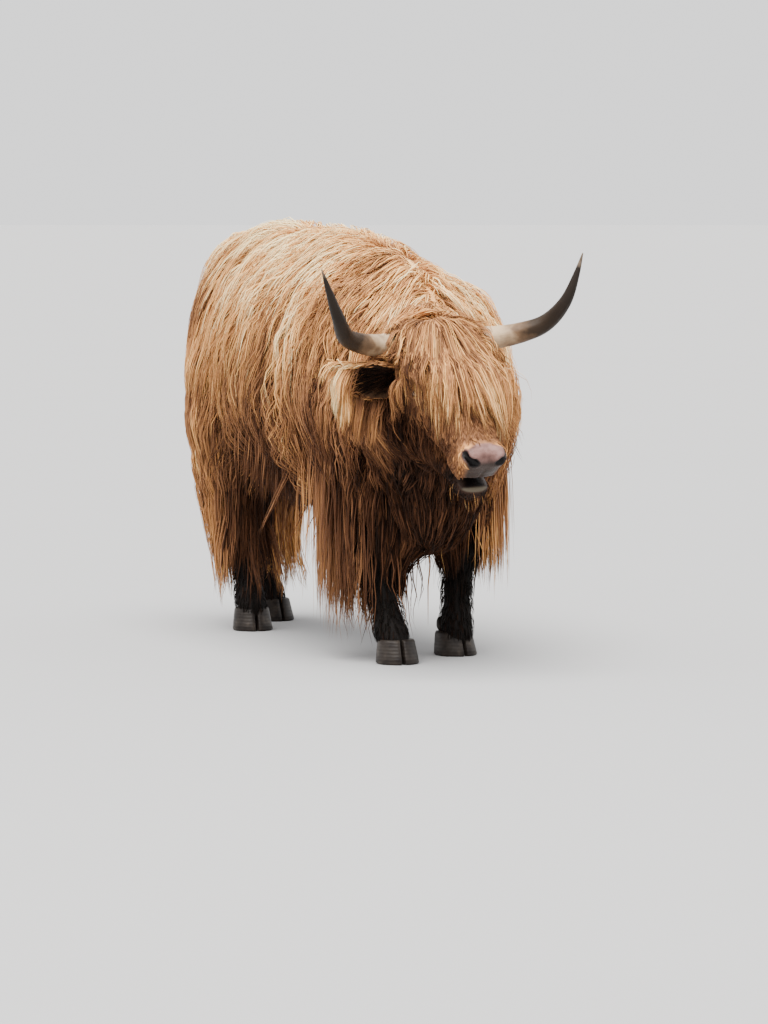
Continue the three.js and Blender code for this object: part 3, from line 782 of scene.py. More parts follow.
def finished(made: bpy.types.Object, finish: "Finish", slot: str, *nodes: str) -> bpy.types.Object:
    """Gives a piece its material and body, hides the parts of the model that it replaces, and reports it with its slot.
    """
    made.data.materials.append(finish.material())
    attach(made, BODY)
    if nodes:
        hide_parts(*nodes)
    log.info("%s: %d faces, in %s", made.name, len(made.data.polygons), slot)
    return made


class Nodes:
    """A node tree that is written as calls."""

    def __init__(self, name: str) -> None:
        """Starts a material with a Principled shader."""
        self.material = bpy.data.materials.new(name)
        self.material.use_nodes = True
        self.tree = self.material.node_tree
        self.shader = self.tree.nodes["Principled BSDF"]

    def add(self, kind: str, inputs: dict | None = None, **settings: object) -> bpy.types.Node:
        """A node of a kind, with its settings, and its inputs as numbers or as other nodes' sockets."""
        node = self.tree.nodes.new(kind)
        for name, value in settings.items():
            setattr(node, name, value)
        for name, value in (inputs or {}).items():
            self.put(node.inputs[name], value)
        return node

    def put(self, socket: bpy.types.NodeSocket, value: object) -> None:
        """Links a socket, or sets its value."""
        if isinstance(value, bpy.types.NodeSocket):
            self.tree.links.new(value, socket)
        else:
            socket.default_value = value

    def shade(self, **inputs: object) -> None:
        """Sets inputs of the shader. Spaces in their names are written as underscores."""
        for name, value in inputs.items():
            self.put(self.shader.inputs[name.replace("_", " ")], value)

    def place(self) -> bpy.types.NodeSocket:
        """The coordinates of the piece, in metres."""
        return self.add("ShaderNodeTexCoord").outputs["Object"]

    def value(self, name: str) -> bpy.types.NodeSocket:
        """A number stored on the mesh."""
        return self.add("ShaderNodeAttribute", attribute_name=name).outputs["Fac"]

    def noise(self, scale: float, detail: float = 3, stretch: tuple = (1, 1, 1)) -> bpy.types.NodeSocket:
        """Noise of a scale for each metre, from 0 to 1."""
        mapping = self.add("ShaderNodeMapping", {"Vector": self.place(), "Scale": stretch})
        inputs = {"Vector": mapping.outputs["Vector"], "Scale": scale, "Detail": detail}
        return self.add("ShaderNodeTexNoise", inputs).outputs["Fac"]

    def swing(self, noise: bpy.types.NodeSocket, reach: float) -> bpy.types.NodeSocket:
        """Noise turned into a number that swings about 0, over a reach in all."""
        return self.sum(self.sum(noise, 0.5, "SUBTRACT"), reach, "MULTIPLY")

    def sum(self, a: object, b: object, operation: str = "ADD", clamp: bool = False) -> bpy.types.NodeSocket:
        """A sum of two numbers, or another operation on them."""
        node = self.add("ShaderNodeMath", operation=operation, use_clamp=clamp)
        self.put(node.inputs[0], a)
        self.put(node.inputs[1], b)
        return node.outputs[0]

    def ramp(self, at: bpy.types.NodeSocket, stops: Sequence[tuple]) -> bpy.types.NodeSocket:
        """A colour read off stops of place and colour."""
        node = self.add("ShaderNodeValToRGB", {"Fac": at})
        elements = node.color_ramp.elements
        while len(elements) < len(stops):
            elements.new(0.5)
        for element, (where, colour) in zip(elements, stops):
            element.position, element.color = where, (*colour, 1)
        return node.outputs["Color"]

    def mix(self, share: object, a: object, b: object, blend: str = "MIX") -> bpy.types.NodeSocket:
        """A mix of two colours."""
        node = self.add("ShaderNodeMix", data_type="RGBA", blend_type=blend)
        for socket, value in ((node.inputs[0], share), (node.inputs[6], a), (node.inputs[7], b)):
            self.put(socket, (*value, 1) if isinstance(value, tuple) and len(value) == 3 else value)
        return node.outputs[2]

    def bump(self, height: bpy.types.NodeSocket, depth: float, strength: float = 1.0,
             over: bpy.types.NodeSocket | None = None) -> bpy.types.NodeSocket:
        """A bump of a depth in metres, over another one if there is one."""
        node = self.add("ShaderNodeBump", {"Height": height, "Distance": depth, "Strength": strength})
        if over is not None:
            self.put(node.inputs["Normal"], over)
        return node.outputs["Normal"]


class Finish:
    """A finish whose material is made once and then shared."""

    def material(self) -> bpy.types.Material:
        """The finish's material."""
        name = type(self).__name__
        return bpy.data.materials.get(name) or self.make(name)

    def make(self, name: str) -> bpy.types.Material:
        """Builds the material."""
        raise NotImplementedError


COAT_COLOURS = (
    (0.00, (0.0025, 0.0017, 0.0013)),
    (0.22, (0.022, 0.009, 0.005)),
    (0.42, (0.108, 0.044, 0.021)),
    (0.60, (0.290, 0.132, 0.058)),
    (0.76, (0.575, 0.262, 0.092)),
    (0.90, (0.900, 0.500, 0.180)),
    (1.00, (1.000, 0.790, 0.430)),
)


@dataclass(frozen=True)
class CoatFinish(Finish):
    """Hair: its colour goes by the tone stored on each lock, and it shines softly."""

    roughness: float = 0.50
    streak: float = 0.12
    sheen: float = 0.02

    def make(self, name: str) -> bpy.types.Material:
        """Builds the material."""
        nodes = Nodes(name)
        tone = nodes.sum(nodes.value("tone"), nodes.swing(nodes.noise(420, 2), self.streak), clamp=True)
        nodes.shade(Base_Color=nodes.ramp(tone, COAT_COLOURS), Roughness=self.roughness,
                    Specular_IOR_Level=0.05, Sheen_Weight=self.sheen, Sheen_Roughness=0.4,
                    Sheen_Tint=(1.0, 0.82, 0.62, 1), Normal=nodes.bump(nodes.noise(900, 2), 0.0004, 0.5))
        return nodes.material


@dataclass(frozen=True)
class SkinFinish(Finish):
    """Skin with short flat fur in the tones of the coat, a moist creased nose, grey lips, and painted shade: on the
    down-facing front of the muzzle, and near black in the mouth, the nostrils and the openings of the ears.
    """

    roughness: float = 0.7

    def make(self, name: str) -> bpy.types.Material:
        """Builds the material."""
        nodes = Nodes(name)
        bare, deep = nodes.value("bare"), nodes.value("deep")
        fine = nodes.swing(nodes.noise(260, 4, (1, 1, 0.35)), 0.22)
        fur = nodes.ramp(nodes.sum(nodes.value("tone"), fine, clamp=True), COAT_COLOURS)
        cells = nodes.add("ShaderNodeTexVoronoi", {"Vector": nodes.place(), "Scale": 330.0}, feature="F1")
        mottle = nodes.noise(38, 4)
        nose = nodes.ramp(mottle, ((0.30, (0.100, 0.050, 0.042)), (0.50, (0.180, 0.094, 0.080)),
                                   (0.70, (0.265, 0.155, 0.135))))
        # Painted shade on the down-facing lower front of the muzzle, over its greyer lip.
        nose = nodes.mix(nodes.value("lip"), nose, (0.020, 0.014, 0.010))
        nose = nodes.mix(nodes.value("rim"), nose, (0.115, 0.096, 0.068))
        skin = nodes.mix(bare, fur, nose)
        # Painted shade: near black in the mouth, the nostrils and the openings of the ears.
        skin = nodes.mix(deep, skin, (0.003, 0.002, 0.002))
        rough = nodes.sum(self.roughness, nodes.sum(bare, 0.36, "MULTIPLY"), "SUBTRACT")
        fur_bump = nodes.bump(nodes.noise(420, 3, (1, 1, 0.3)), 0.0016,
                              nodes.sum(1.0, bare, "SUBTRACT"))
        nose_bump = nodes.bump(cells.outputs["Distance"], 0.0011, nodes.sum(bare, 0.8, "MULTIPLY"), fur_bump)
        nodes.shade(Base_Color=skin, Roughness=rough, Specular_IOR_Level=0.16, Normal=nose_bump)
        return nodes.material


@dataclass(frozen=True)
class HornFinish(Finish):
    """Horn: ivory at the root, grey-brown past the bend, nearly black towards the tip, with fine grain."""

    def make(self, name: str) -> bpy.types.Material:
        """Builds the material."""
        nodes = Nodes(name)
        along = nodes.sum(nodes.value("along"), nodes.swing(nodes.noise(26, 5), 0.26))
        body = nodes.ramp(along, (
            (0.00, (0.58, 0.42, 0.27)), (0.18, (0.54, 0.40, 0.25)), (0.31, (0.15, 0.090, 0.050)),
            (0.42, (0.030, 0.018, 0.010)), (0.70, (0.014, 0.009, 0.006)), (0.92, (0.016, 0.011, 0.008)),
            (1.00, (0.20, 0.15, 0.11))))
        grain = nodes.sum(nodes.value("grain"), 46.0, "MULTIPLY")
        streaks = nodes.add("ShaderNodeTexNoise", {"W": grain, "Scale": 1.0, "Detail": 4.0},
                            noise_dimensions="1D").outputs["Fac"]
        darker = nodes.mix(1.0, body, (0.62, 0.56, 0.50), "MULTIPLY")
        colour = nodes.mix(nodes.sum(streaks, 0.55, "MULTIPLY"), body, darker)
        rough = nodes.sum(0.34, nodes.sum(nodes.noise(60, 4), 0.24, "MULTIPLY"))
        nodes.shade(Base_Color=colour, Roughness=rough, Specular_IOR_Level=0.14,
                    Normal=nodes.bump(streaks, 0.0009, 0.7))
        return nodes.material


@dataclass(frozen=True)
class HoofFinish(Finish):
    """Hoof: blackish horn with faint rings and scuffed edges."""

    def make(self, name: str) -> bpy.types.Material:
        """Builds the material."""
        nodes = Nodes(name)
        wave = {"Vector": nodes.place(), "Scale": 34.0, "Distortion": 1.4, "Detail": 3.0}
        rings = nodes.add("ShaderNodeTexWave", wave, bands_direction="Z").outputs["Fac"]
        scuffs = nodes.noise(34, 5)
        colour = nodes.ramp(scuffs, ((0.35, (0.010, 0.007, 0.006)), (0.60, (0.026, 0.020, 0.016)),
                                     (0.80, (0.065, 0.050, 0.038))))
        nodes.shade(Base_Color=colour, Roughness=0.5, Specular_IOR_Level=0.2,
                    Normal=nodes.bump(rings, 0.0008, 0.6, nodes.bump(nodes.noise(160, 4), 0.0006, 0.5)))
        return nodes.material


@dataclass(frozen=True)
class EyeFinish(Finish):
    """A dark brown eye with a level pupil, under a wet clear coat."""

    def make(self, name: str) -> bpy.types.Material:
        """Builds the material."""
        nodes = Nodes(name)
        colour = nodes.ramp(nodes.value("iris"), ((0.00, (0.003, 0.003, 0.004)), (0.28, (0.006, 0.004, 0.004)),
                                                  (0.36, (0.060, 0.026, 0.012)), (0.62, (0.028, 0.013, 0.008)),
                                                  (0.72, (0.020, 0.012, 0.010)), (0.95, (0.210, 0.165, 0.140))))
        nodes.shade(Base_Color=colour, Roughness=0.12, Specular_IOR_Level=0.6, Coat_Weight=1.0,
                    Coat_Roughness=0.03)
        return nodes.material


@dataclass(frozen=True)
class FloorFinish(Finish):
    """A pale matt studio floor."""

    colour: tuple[float, float, float] = (0.382, 0.382, 0.385)
    shade: float = 0.97

    def make(self, name: str) -> bpy.types.Material:
        """Builds the material."""
        nodes = Nodes(name)
        darker = tuple(part * self.shade for part in self.colour)
        nodes.shade(Base_Color=nodes.mix(nodes.noise(0.6, 2), self.colour, darker), Roughness=0.85)
        return nodes.material


# ---- The skin ----


@dataclass(frozen=True)
class Ground:
    """Places on the skin, with the way out of it and how much each belongs to each part."""

    place: Array
    normal: Array
    share: Array

    @property
    def head(self) -> Array:
        """The places in the head's frame."""
        return HEAD.into(self.place)

    def of(self, *parts: Part) -> Array:
        """How much each place belongs to some parts."""
        return sum(self.share[:, part.value] for part in parts)

    def at(self, chosen: Array) -> "Ground":
        """The chosen places only."""
        return Ground(self.place[chosen], self.normal[chosen], self.share[chosen])


def blob(places: Array, centre: Sequence[float], reach: Sequence[float]) -> Array:
    """1 at a centre, falling softly to 0 over a reach along each axis."""
    return np.exp(-(((places - np.array(centre)) / np.array(reach)) ** 2).sum(axis=1))


def drift(places: Array, reach: float, kind: int = 0) -> Array:
    """A soft swell from about -1 to 1 that changes over a reach, one pattern for each kind."""
    rng = np.random.default_rng(100 + kind)
    ways, starts = rng.normal(0, 1 / reach, (6, 3)), rng.uniform(0, 2 * np.pi, 6)
    return np.sin(places @ ways.T + starts).mean(axis=-1) * 1.7


def body_middle(y: Array) -> Array:
    """The middle of the body across, at places along it."""
    rows = sorted((station.y, station.x) for station in TORSO)
    return np.interp(y, *zip(*rows))


def coat_tone_and_painted_light(g: Ground) -> Array:
    """The tone of the coat at places on the skin, from 0, nearly black, to 1, cream: the coat's own colours, with
    painted light and shade laid into them.
    """
    x, y, z = g.place.T
    hx, hy, hz = g.head.T
    # Painted light and shade: lighter up the body and darker on skin that faces down, partly the coat's own paler top
    # and darker belly, partly painted light from above and painted shade beneath.
    under = ease(-g.normal[:, 2], 0.1, 0.9)
    body = 0.40 + 0.45 * ease(z, 0.42, 1.08) + 0.10 * ease(z, 1.0, 1.12) - 0.12 * under
    # Painted shadow patches, darker in the tone: by the tail head on the right, on top of the right shoulder, in the
    # parting at the withers, and in the hollow between neck and shoulder on the right.
    body -= 0.34 * blob(g.place, (-0.20, 0.60, 1.02), (0.08, 0.11, 0.08))
    body -= 0.30 * blob(g.place, (-0.22, -0.34, 1.03), (0.09, 0.09, 0.055))
    body -= 0.22 * blob(g.place, (-0.03, -0.33, 1.10), (0.04, 0.05, 0.06))
    body -= 0.34 * blob(g.place, (-0.30, -0.43, 0.78), (0.12, 0.045, 0.13))
    body += 0.46 * blob(g.place, (0.26, -0.50, 0.56), (0.14, 0.20, 0.22))
    body += 0.12 * blob(g.place, (-0.22, 0.74, 0.50), (0.12, 0.10, 0.16))
    # Painted highlight along the edge where the shoulder's hair overlaps the flank, with painted shade just behind it.
    along = g.place * (0, 1, 0)
    body += ease(1.02 - z, 0.0, 0.1) * (0.08 * blob(along, (0, -0.21, 0), (1, 0.045, 1))
                                        - 0.12 * blob(along, (0, -0.10, 0), (1, 0.06, 1)))
    neck = body - 0.10 * ease(-y, 0.40, 0.60) * ease(0.9 - z, 0.0, 0.3)
    # Painted shadow on the right side of the neck, under the ear.
    neck = neck - 0.45 * blob(g.place, (-0.27, -0.82, 0.79), (0.08, 0.08, 0.10))
    # The brisket: its own dark reddish brown, deepened by painted shade.
    chest = ease(-y, 0.40, 0.56) * ease(0.66 - z, 0.0, 0.20) * ease(g.normal[:, 0] - 0.6 * g.normal[:, 1], -0.6, 0.1)
    chest *= 1 - ease(x, 0.02, 0.14)
    body, neck = body * (1 - chest) + 0.24 * chest, neck * (1 - chest) + 0.24 * chest
    muzzle = 0.28 * ease(-hy, 0.340, 0.375) * ease(hz, -0.086, -0.030) * (0.25 + 0.75 * ease(np.abs(hx), 0.022, 0.045))
    face = 0.50 - 0.20 * ease(-hz, 0.09, 0.17) + muzzle
    face -= 0.12 * ease(-hy, 0.25, 0.38) * ease(-hz, 0.13, 0.16)
    # Painted shadow on both cheeks, below the ears.
    face -= 0.30 * blob(np.abs(g.head), (0.105, 0.05, 0.150), (0.05, 0.09, 0.08))
    face += 0.22 * ease(hy, -0.10, -0.02) * ease(hz, -0.12, -0.06)
    ear = 0.68 + 0.28 * ease(-hx, 0.24, 0.28)
    foreleg = 0.01 + 0.43 * ease(z, 0.38, 0.58)
    hindleg = 0.02 + 0.56 * ease(z, 0.30, 0.60)
    tail = 0.38 + 0.16 * ease(z, 0.45, 1.0)
    tones = {Part.TRUNK: body, Part.NECK: neck, Part.HEAD: face, Part.EAR: ear, Part.FORELEG: foreleg,
             Part.HINDLEG: hindleg, Part.TAIL: tail}
    return np.clip(sum(g.of(part) * tone for part, tone in tones.items()), 0.0, 1)


class Skin:
    """The skin of the whole animal: one closed mesh, and what is known at its vertices."""

    STEP, QUICK_STEP = 0.0134, 0.02  # the size of a cell in even space
    LOW, HIGH = np.array([-0.48, -1.30, 0.02]), np.array([0.42, 0.88, 1.24])  # the box that is searched
    FOCUS = np.array([0, -0.22, -0.08])  # the middle of the head, in its own frame
    SMOOTHING = 14  # how often the shares of the parts are spread to their neighbours
    SNAP = 0.002  # how far a vertex may be moved onto the surface
    NODES = ("head", "muzzle", "jaw", "ear_left", "ear_right", "trunk", "neck", "tail") + tuple(
        f"{leg.name}_{piece}" for leg in LEGS for piece in ("upper", "lower"))

    def __init__(self, anatomy: Anatomy) -> None:
        """Meshes the anatomy."""
        self.anatomy = anatomy
        mesher = Mesher(anatomy.distance, Lens(HEAD.out(self.FOCUS)), self.LOW, self.HIGH,
                        self.STEP)
        vertices, self.quads = mesher.build()
        gap, normal = anatomy.gradient(vertices)
        vertices = vertices - np.clip(gap, -self.SNAP, self.SNAP)[:, None] * normal
        share = np.eye(len(Part))[anatomy.labels(vertices)]
        edges = np.concatenate([self.quads[:, [i, (i + 1) % 4]] for i in range(4)])
        count = np.bincount(edges.ravel(), minlength=len(vertices))[:, None]
        for _ in range(self.SMOOTHING):
            total = np.zeros_like(share)
            for column in range(share.shape[1]):
                total[:, column] = (np.bincount(edges[:, 0], share[edges[:, 1], column], len(vertices))
                                    + np.bincount(edges[:, 1], share[edges[:, 0], column], len(vertices)))
            share = (share + total / count) / 2
        self.ground = Ground(vertices, normal, share)
        corners = vertices[self.quads]
        self.areas = np.linalg.norm(np.cross(corners[:, 2] - corners[:, 0], corners[:, 3] - corners[:, 1]), axis=1) / 2

    def scatter(self, density: Array, count: int, rng: np.random.Generator) -> Ground:
        """Places strewn over the skin.

        Args:
            density: How thickly to strew at each vertex. The scale doesn't matter.
            count: How many places.
            rng: The source of chance.

        Returns:
            The places, with what the skin knows there.
        """
        weight = self.areas * density[self.quads].mean(axis=1)
        total = np.cumsum(weight)
        even = (np.arange(count) + rng.random(count)) / count * total[-1]
        faces = self.quads[np.searchsorted(total, even).clip(0, len(weight) - 1)]
        u, v = rng.random((2, count, 1))
        shares = np.stack([(1 - u) * (1 - v), u * (1 - v), u * v, (1 - u) * v])

        def mean(values: Array) -> Array:
            """The mean of vertex values at the places."""
            return (shares * values[faces].transpose(1, 0, 2)).sum(axis=0)

        g = self.ground
        return Ground(mean(g.place), unit(mean(g.normal)), mean(g.share))

    def dress(self) -> bpy.types.Object:
        """Makes the piece, with the coat's tone and its painted light and shade."""
        g = self.ground
        made = new_object("skin", g.place, self.quads.ravel(), np.full(len(self.quads), 4))
        hx, hy, hz = g.head.T
        over = ease(hz, -0.045, -0.022) * ease(-hy - 0.5 * np.maximum(np.abs(hx) - 0.02, 0), 0.366, 0.376)
        pad = np.maximum(ease(-hy - 0.25 * np.maximum(-hz - 0.08, 0), 0.398, 0.408), over)
        reach = np.interp(hz, [-0.11, -0.06, -0.04], [0.046, 0.052, 0.066])
        pad *= ease(reach + 0.003 - np.abs(hx), 0.0, 0.014) * ease(hz, -0.120, -0.112)
        rim = ease(-hy, 0.330, 0.350) * ease(-hz, 0.130, 0.137) * ease(hz + 0.06 * (hy + 0.39), -0.154, -0.148)
        # The inside of the mouth and the nostrils get painted shade, near black.
        inside = np.stack([form.distance(g.place) for form, _ in self.anatomy.cuts], axis=1)
        mouth = ease(0.004 - inside[:, 0], 0.0, 0.003) * ease(hy, -0.421, -0.411)
        nostril = inside[:, [2, 3, 5, 6]].min(axis=1)
        holes = ease(0.0042 - nostril, 0.0, 0.003)
        # Painted shade in the opening of each ear, full on the right ear and faint on the left.
        hollow = np.zeros(len(g.place))
        for (form, _), dark in zip(self.anatomy.parts[Part.EAR][1::2], (0.2, 1.0)):
            share = form.form.share_of(g.head)
            facing = dot(g.normal @ HEAD.turn, form.form.frame_at(share)[2])
            hollow = np.maximum(hollow, g.of(Part.EAR) * ease(facing, 0.1, 0.6) * (form.distance(g.place) < 0.01)
                                * ease(1 - share, 0.28, 0.45) * dark)
        bare = np.maximum(np.maximum(pad, rim), ease(0.0095 - nostril, 0.0, 0.004))
        add_values(made, "tone", coat_tone_and_painted_light(g))
        add_values(made, "bare", np.clip(bare * g.of(Part.HEAD), 0, 1))
        add_values(made, "rim", ease(-hz, 0.137, 0.142) * ease(hz, -0.156, -0.150) * ease(-hy, 0.412, 0.420))
        # Painted shade on the lower front of the muzzle, where it faces down, over its greyer lip.
        add_values(made, "lip", 0.92 * ease(-hz, 0.024, 0.046))
        add_values(made, "deep", np.clip(np.maximum(np.maximum(mouth, holes), hollow * 0.9), 0, 1))
        return finished(made, SkinFinish(), "coat_tan", *self.NODES)


# ---- The coat ----


@dataclass(frozen=True)
class Slope:
    """A measure of the coat that changes below a height, over a stretch of it."""

    base: float
    gain: float = 0.0
    height: float = 0.0
    stretch: float = 1.0

    def at(self, g: Ground) -> Array:
        """The measure at places."""
        return self.base + self.gain * ease(self.height - g.place[:, 2], 0.0, self.stretch)


@dataclass(frozen=True)
class Style:
    """How the locks of a coat are made. Lengths are in metres."""

    slot: str = "coat_tan"
    count: int = 1000
    bends: int = 5
    width: float = 0.0040
    long: Slope = Slope(0.10)
    deep: Slope = Slope(0.03)
    heading: tuple[float, float, float] = (0.0, 0.05, -1.0)  # how far out, back and up the locks lie
    clump: float = 0.030
    gather: float = 0.42  # the share of its distance from the clump's middle that a tip keeps
    loose: float = 0.20  # the share of locks that lie apart from their clump
    wave: float = 0.0050
    wavelength: float = 0.115
    lift: float = 0.25  # how steeply a lock leaves the skin, in radians
    stiff: float = 1.0  # how much a lock keeps its way,
    follow: float = 0.8  # follows the lie of the coat,
    fall: float = 0.22  # hangs
    hold: float = 0.8  # and is drawn back to its layer
    streak: float = 0.055  # how far tones differ from lock to lock,
    tuft: float = 0.060  # from clump to clump
    patchy: float = 0.065  # and from area to area
    # Painted shade at the roots of the locks, deep in the coat.
    root_painted_shade: float = 0.26
    tip_light: float = 0.04
    relief: float = 0.45  # how far below the outermost layer a clump may lie, as a share
    inner: float = 0.10  # the lowest layer of a lock in its clump, as a share
    fold: float = 0.0  # how much the coat swells into upright folds


class Coat:
    """Locks over one stretch of the skin, in one style."""

    name: str
    style: Style
    nodes: tuple[str, ...] = ()

    MOST_TRIANGLES = 190_000
    QUICK_SHARE = 8
    GUIDE_STEPS = 12
    GUIDE_LENGTHS = (0.86, 1.12)
    GUIDE_LIFTS = (0.7, 1.3)
    STRAY = 0.10  # how far a guide strays from the lie of the coat
    CUTS = (0.70, 1.0)  # how much of its guide's length a lock has
    GATHERS = (0.6, 1.6)
    LOOSE_GATHER = 0.95
    WIDTHS = (0.6, 1.35)
    ROLL = 0.30  # how far locks turn about themselves, in radians
    RIPPLE, RIPPLE_SHARE = 0.06, 0.22  # the length of a lock's own wave, and its share of the clump's
    FLOOR = 0.010  # the height that no lock hangs below
    ROOT = 0.0015  # how deep a lock is rooted
    NEAR = 0.09  # a lock further off the skin than this isn't drawn back
    BLUNT = 0.45  # the breadth of a root, as a share

    def density(self, g: Ground) -> Array:
        """How thickly the locks grow."""
        raise NotImplementedError

    def length(self, g: Ground) -> Array:
        """How long the locks are."""
        return self.style.long.at(g)

    def depth(self, g: Ground) -> Array:
        """How far the outermost locks lie off the skin."""
        return self.style.deep.at(g)

    def lie(self, places: Array) -> Array:
        """The way the locks lie at places."""
        out, back, up = self.style.heading
        return unit(stacked(out * sideways(places), back, up, places))

    def tone(self, g: Ground) -> Array:
        """The tone of the locks."""
        return coat_tone_and_painted_light(g)

    def folds(self, g: Ground) -> Array:
        """How much the coat swells into long upright folds at places."""
        return self.style.fold * drift(g.place * np.array([1.0, 1.0, 0.35]), 0.060, 12)

    @staticmethod
    def rise(t: Array) -> Array:
        """How a lock climbs off the skin and its tip sinks back, as a share of its layer."""
        return np.minimum(1, np.asarray(t) / 0.3) ** 0.7 * (1 - 0.4 * ease(np.asarray(t, float), 0.5, 1.0))

    def settle(self, gap: Array, want: Array) -> Array:
        """How far places have to move out of the skin to reach the height they want over it."""
        return np.where(gap < want, want - gap, (want - gap) * self.style.hold * (gap < self.NEAR))

    def grow(self, g: Ground, anatomy: Anatomy, rng: np.random.Generator) -> tuple[Array, Array]:
        """Grows guide strands.

        Args:
            g: Where they are rooted.
            anatomy: What they are kept out of.
            rng: The source of chance.

        Returns:
            Points for each strand, evenly spaced from root to tip, and the layer that it lies in.
        """
        style, count = self.style, len(g.place)
        step = (self.length(g) * rng.uniform(*self.GUIDE_LENGTHS, count) / self.GUIDE_STEPS)[:, None]
        layer = rng.uniform(1 - style.relief, 1.05, count)
        depth = self.depth(g) * (1 + self.folds(g)) * layer
        lie = self.lie(g.place)
        lie = unit(lie - dot(lie, g.normal)[:, None] * g.normal + 1e-6)
        rise = style.lift * rng.uniform(*self.GUIDE_LIFTS, count)[:, None]
        way = unit(lie * np.cos(rise) + g.normal * np.sin(rise))
        stray = rng.normal(0, self.STRAY, (count, 3))
        place, path = g.place, [g.place]
        for k in range(1, self.GUIDE_STEPS + 1):
            t = k / self.GUIDE_STEPS
            way = unit(way * style.stiff + (self.lie(place) + stray) * style.follow * 0.5
                       + DOWN * style.fall * (0.4 + t))
            place = place + way * step
            gap, out = anatomy.gradient(place)
            shift = self.settle(gap, depth * self.rise(t))
            moved = place + np.clip(shift, -0.02, 0.04)[:, None] * out
            way = unit(way * 0.5 + unit(moved - path[-1]) * 0.5)
            place = moved
            path.append(place)
        return np.stack(path, axis=1), layer

    def strands(self, g: Ground, anatomy: Anatomy, rng: np.random.Generator) -> tuple[Array, Array]:
        """Grows every lock's middle line, gathered into clumps that wave together.

        Args:
            g: Where the locks are rooted.
            anatomy: What they are kept out of.
            rng: The source of chance.

        Returns:
            The points of each lock, and the number of the clump it is in.
        """
        style, count = self.style, len(g.place)
        cells = np.floor(g.place / style.clump).astype(int)
        chosen = np.unique(cells, axis=0, return_index=True)[1]
        guides = g.at(chosen)
        paths, layers = self.grow(guides, anatomy, rng)
        tree = kdtree.KDTree(len(chosen))
        for i, place in enumerate(guides.place):
            tree.insert(place, i)
        tree.balance()
        nearest = np.array([[hit[1] for hit in (tree.find_n(place, 2) * 2)[:2]] for place in g.place])
        free = rng.random(count) < style.loose
        owner = np.where(free, nearest[:, 1], nearest[:, 0])
        cut = rng.uniform(*self.CUTS, count)
        t = np.linspace(0, 1, style.bends + 1)
        at = t[None] * cut[:, None] * self.GUIDE_STEPS
        i = np.minimum(at.astype(int), self.GUIDE_STEPS - 1)
        mine, rows = paths[owner], np.arange(count)[:, None]
        line = mine[rows, i] + (mine[rows, i + 1] - mine[rows, i]) * (at - i)[..., None]
        gather = np.where(free, self.LOOSE_GATHER, style.gather * rng.uniform(*self.GATHERS, count))
        spread = 1 - (1 - gather[:, None]) * ease(t[None] * cut[:, None], 0.0, 0.85)
        line = line + (g.place - guides.place[owner])[:, None] * spread[..., None]
        side = unit(np.cross(unit(np.gradient(line, axis=1)), g.normal[:, None] + 1e-4))
        run = np.linalg.norm(np.diff(line, axis=1, prepend=line[:, :1]), axis=2).cumsum(axis=1)
        swell = 3.0 * drift(guides.place, 0.10, 1) + rng.normal(0, 0.6, len(chosen))
        phase = swell[owner]
        pace = (style.wavelength * (1 + 0.2 * drift(guides.place, 0.2, 2)))[owner]
        size = (style.wave * (0.8 + 0.6 * drift(guides.place, 0.25, 3)).clip(0.15))[owner]
        swing = np.sin(2 * np.pi * run / pace[:, None] + phase[:, None]) - np.sin(phase)[:, None]
        own = np.sin(2 * np.pi * run / self.RIPPLE + rng.uniform(0, 2 * np.pi, count)[:, None])
        offset = size[:, None] * swing + self.RIPPLE_SHARE * style.wave * own * ease(t, 0.0, 0.4)
        line = line + side * offset[..., None]
        layer = layers[owner] * rng.uniform(style.inner, 1.0, count) ** 0.6
        want = (self.depth(g) * (1 + self.folds(g)) * layer)[:, None] * self.rise(t)
        points = line[:, 1:].reshape(-1, 3)
        gap, out = anatomy.gradient(points)
        shift = self.settle(gap, want[:, 1:].ravel())
        points = points + np.clip(shift, -0.05, 0.05)[:, None] * out
        line = np.concatenate([g.place[:, None] - self.ROOT * g.normal[:, None], points.reshape(count, -1, 3)], axis=1)
        line[:, 1:-1] = line[:, 1:-1] * 0.6 + (line[:, :-2] + line[:, 2:]) * 0.2
        line[..., 2] = np.maximum(line[..., 2], self.FLOOR)
        return line, owner

    def build(self, skin: Skin, rng: np.random.Generator) -> None:
        """Grows the locks over the skin and makes the pieces."""
        style = self.style
        count = style.count // 1
        g = skin.scatter(np.clip(self.density(skin.ground), 0, None), count, rng)
        g = g.at(np.argsort(g.place[:, 1]))
        line, owner = self.strands(g, skin.anatomy, rng)
        tone = self.tone(g) + rng.normal(0, style.tuft, owner.max() + 1)[owner]
        tone = tone + rng.normal(0, style.streak, len(owner))
        # Tone differs at random from area to area; on top of that the swells of the folds get painted light and the
        # troughs between them painted shade.
        tone += style.patchy * (drift(g.place, 0.07, 4) + 0.7 * drift(g.place, 0.025, 5)) + 0.3 * self.folds(g)
        width = style.width * rng.uniform(*self.WIDTHS, len(owner))
        each = 6 * (style.bends - 1) + 4
        parts = math.ceil(len(owner) * each / self.MOST_TRIANGLES)
        for i, rows in enumerate(np.array_split(np.arange(len(owner)), parts)):
            name = self.name if parts == 1 else f"{self.name}_{i + 1}"
            made = self.dress(name, g.at(rows), line[rows], width[rows], tone[rows], rng)
            finished(made, CoatFinish(), style.slot, *(self.nodes if i == 0 else ()))

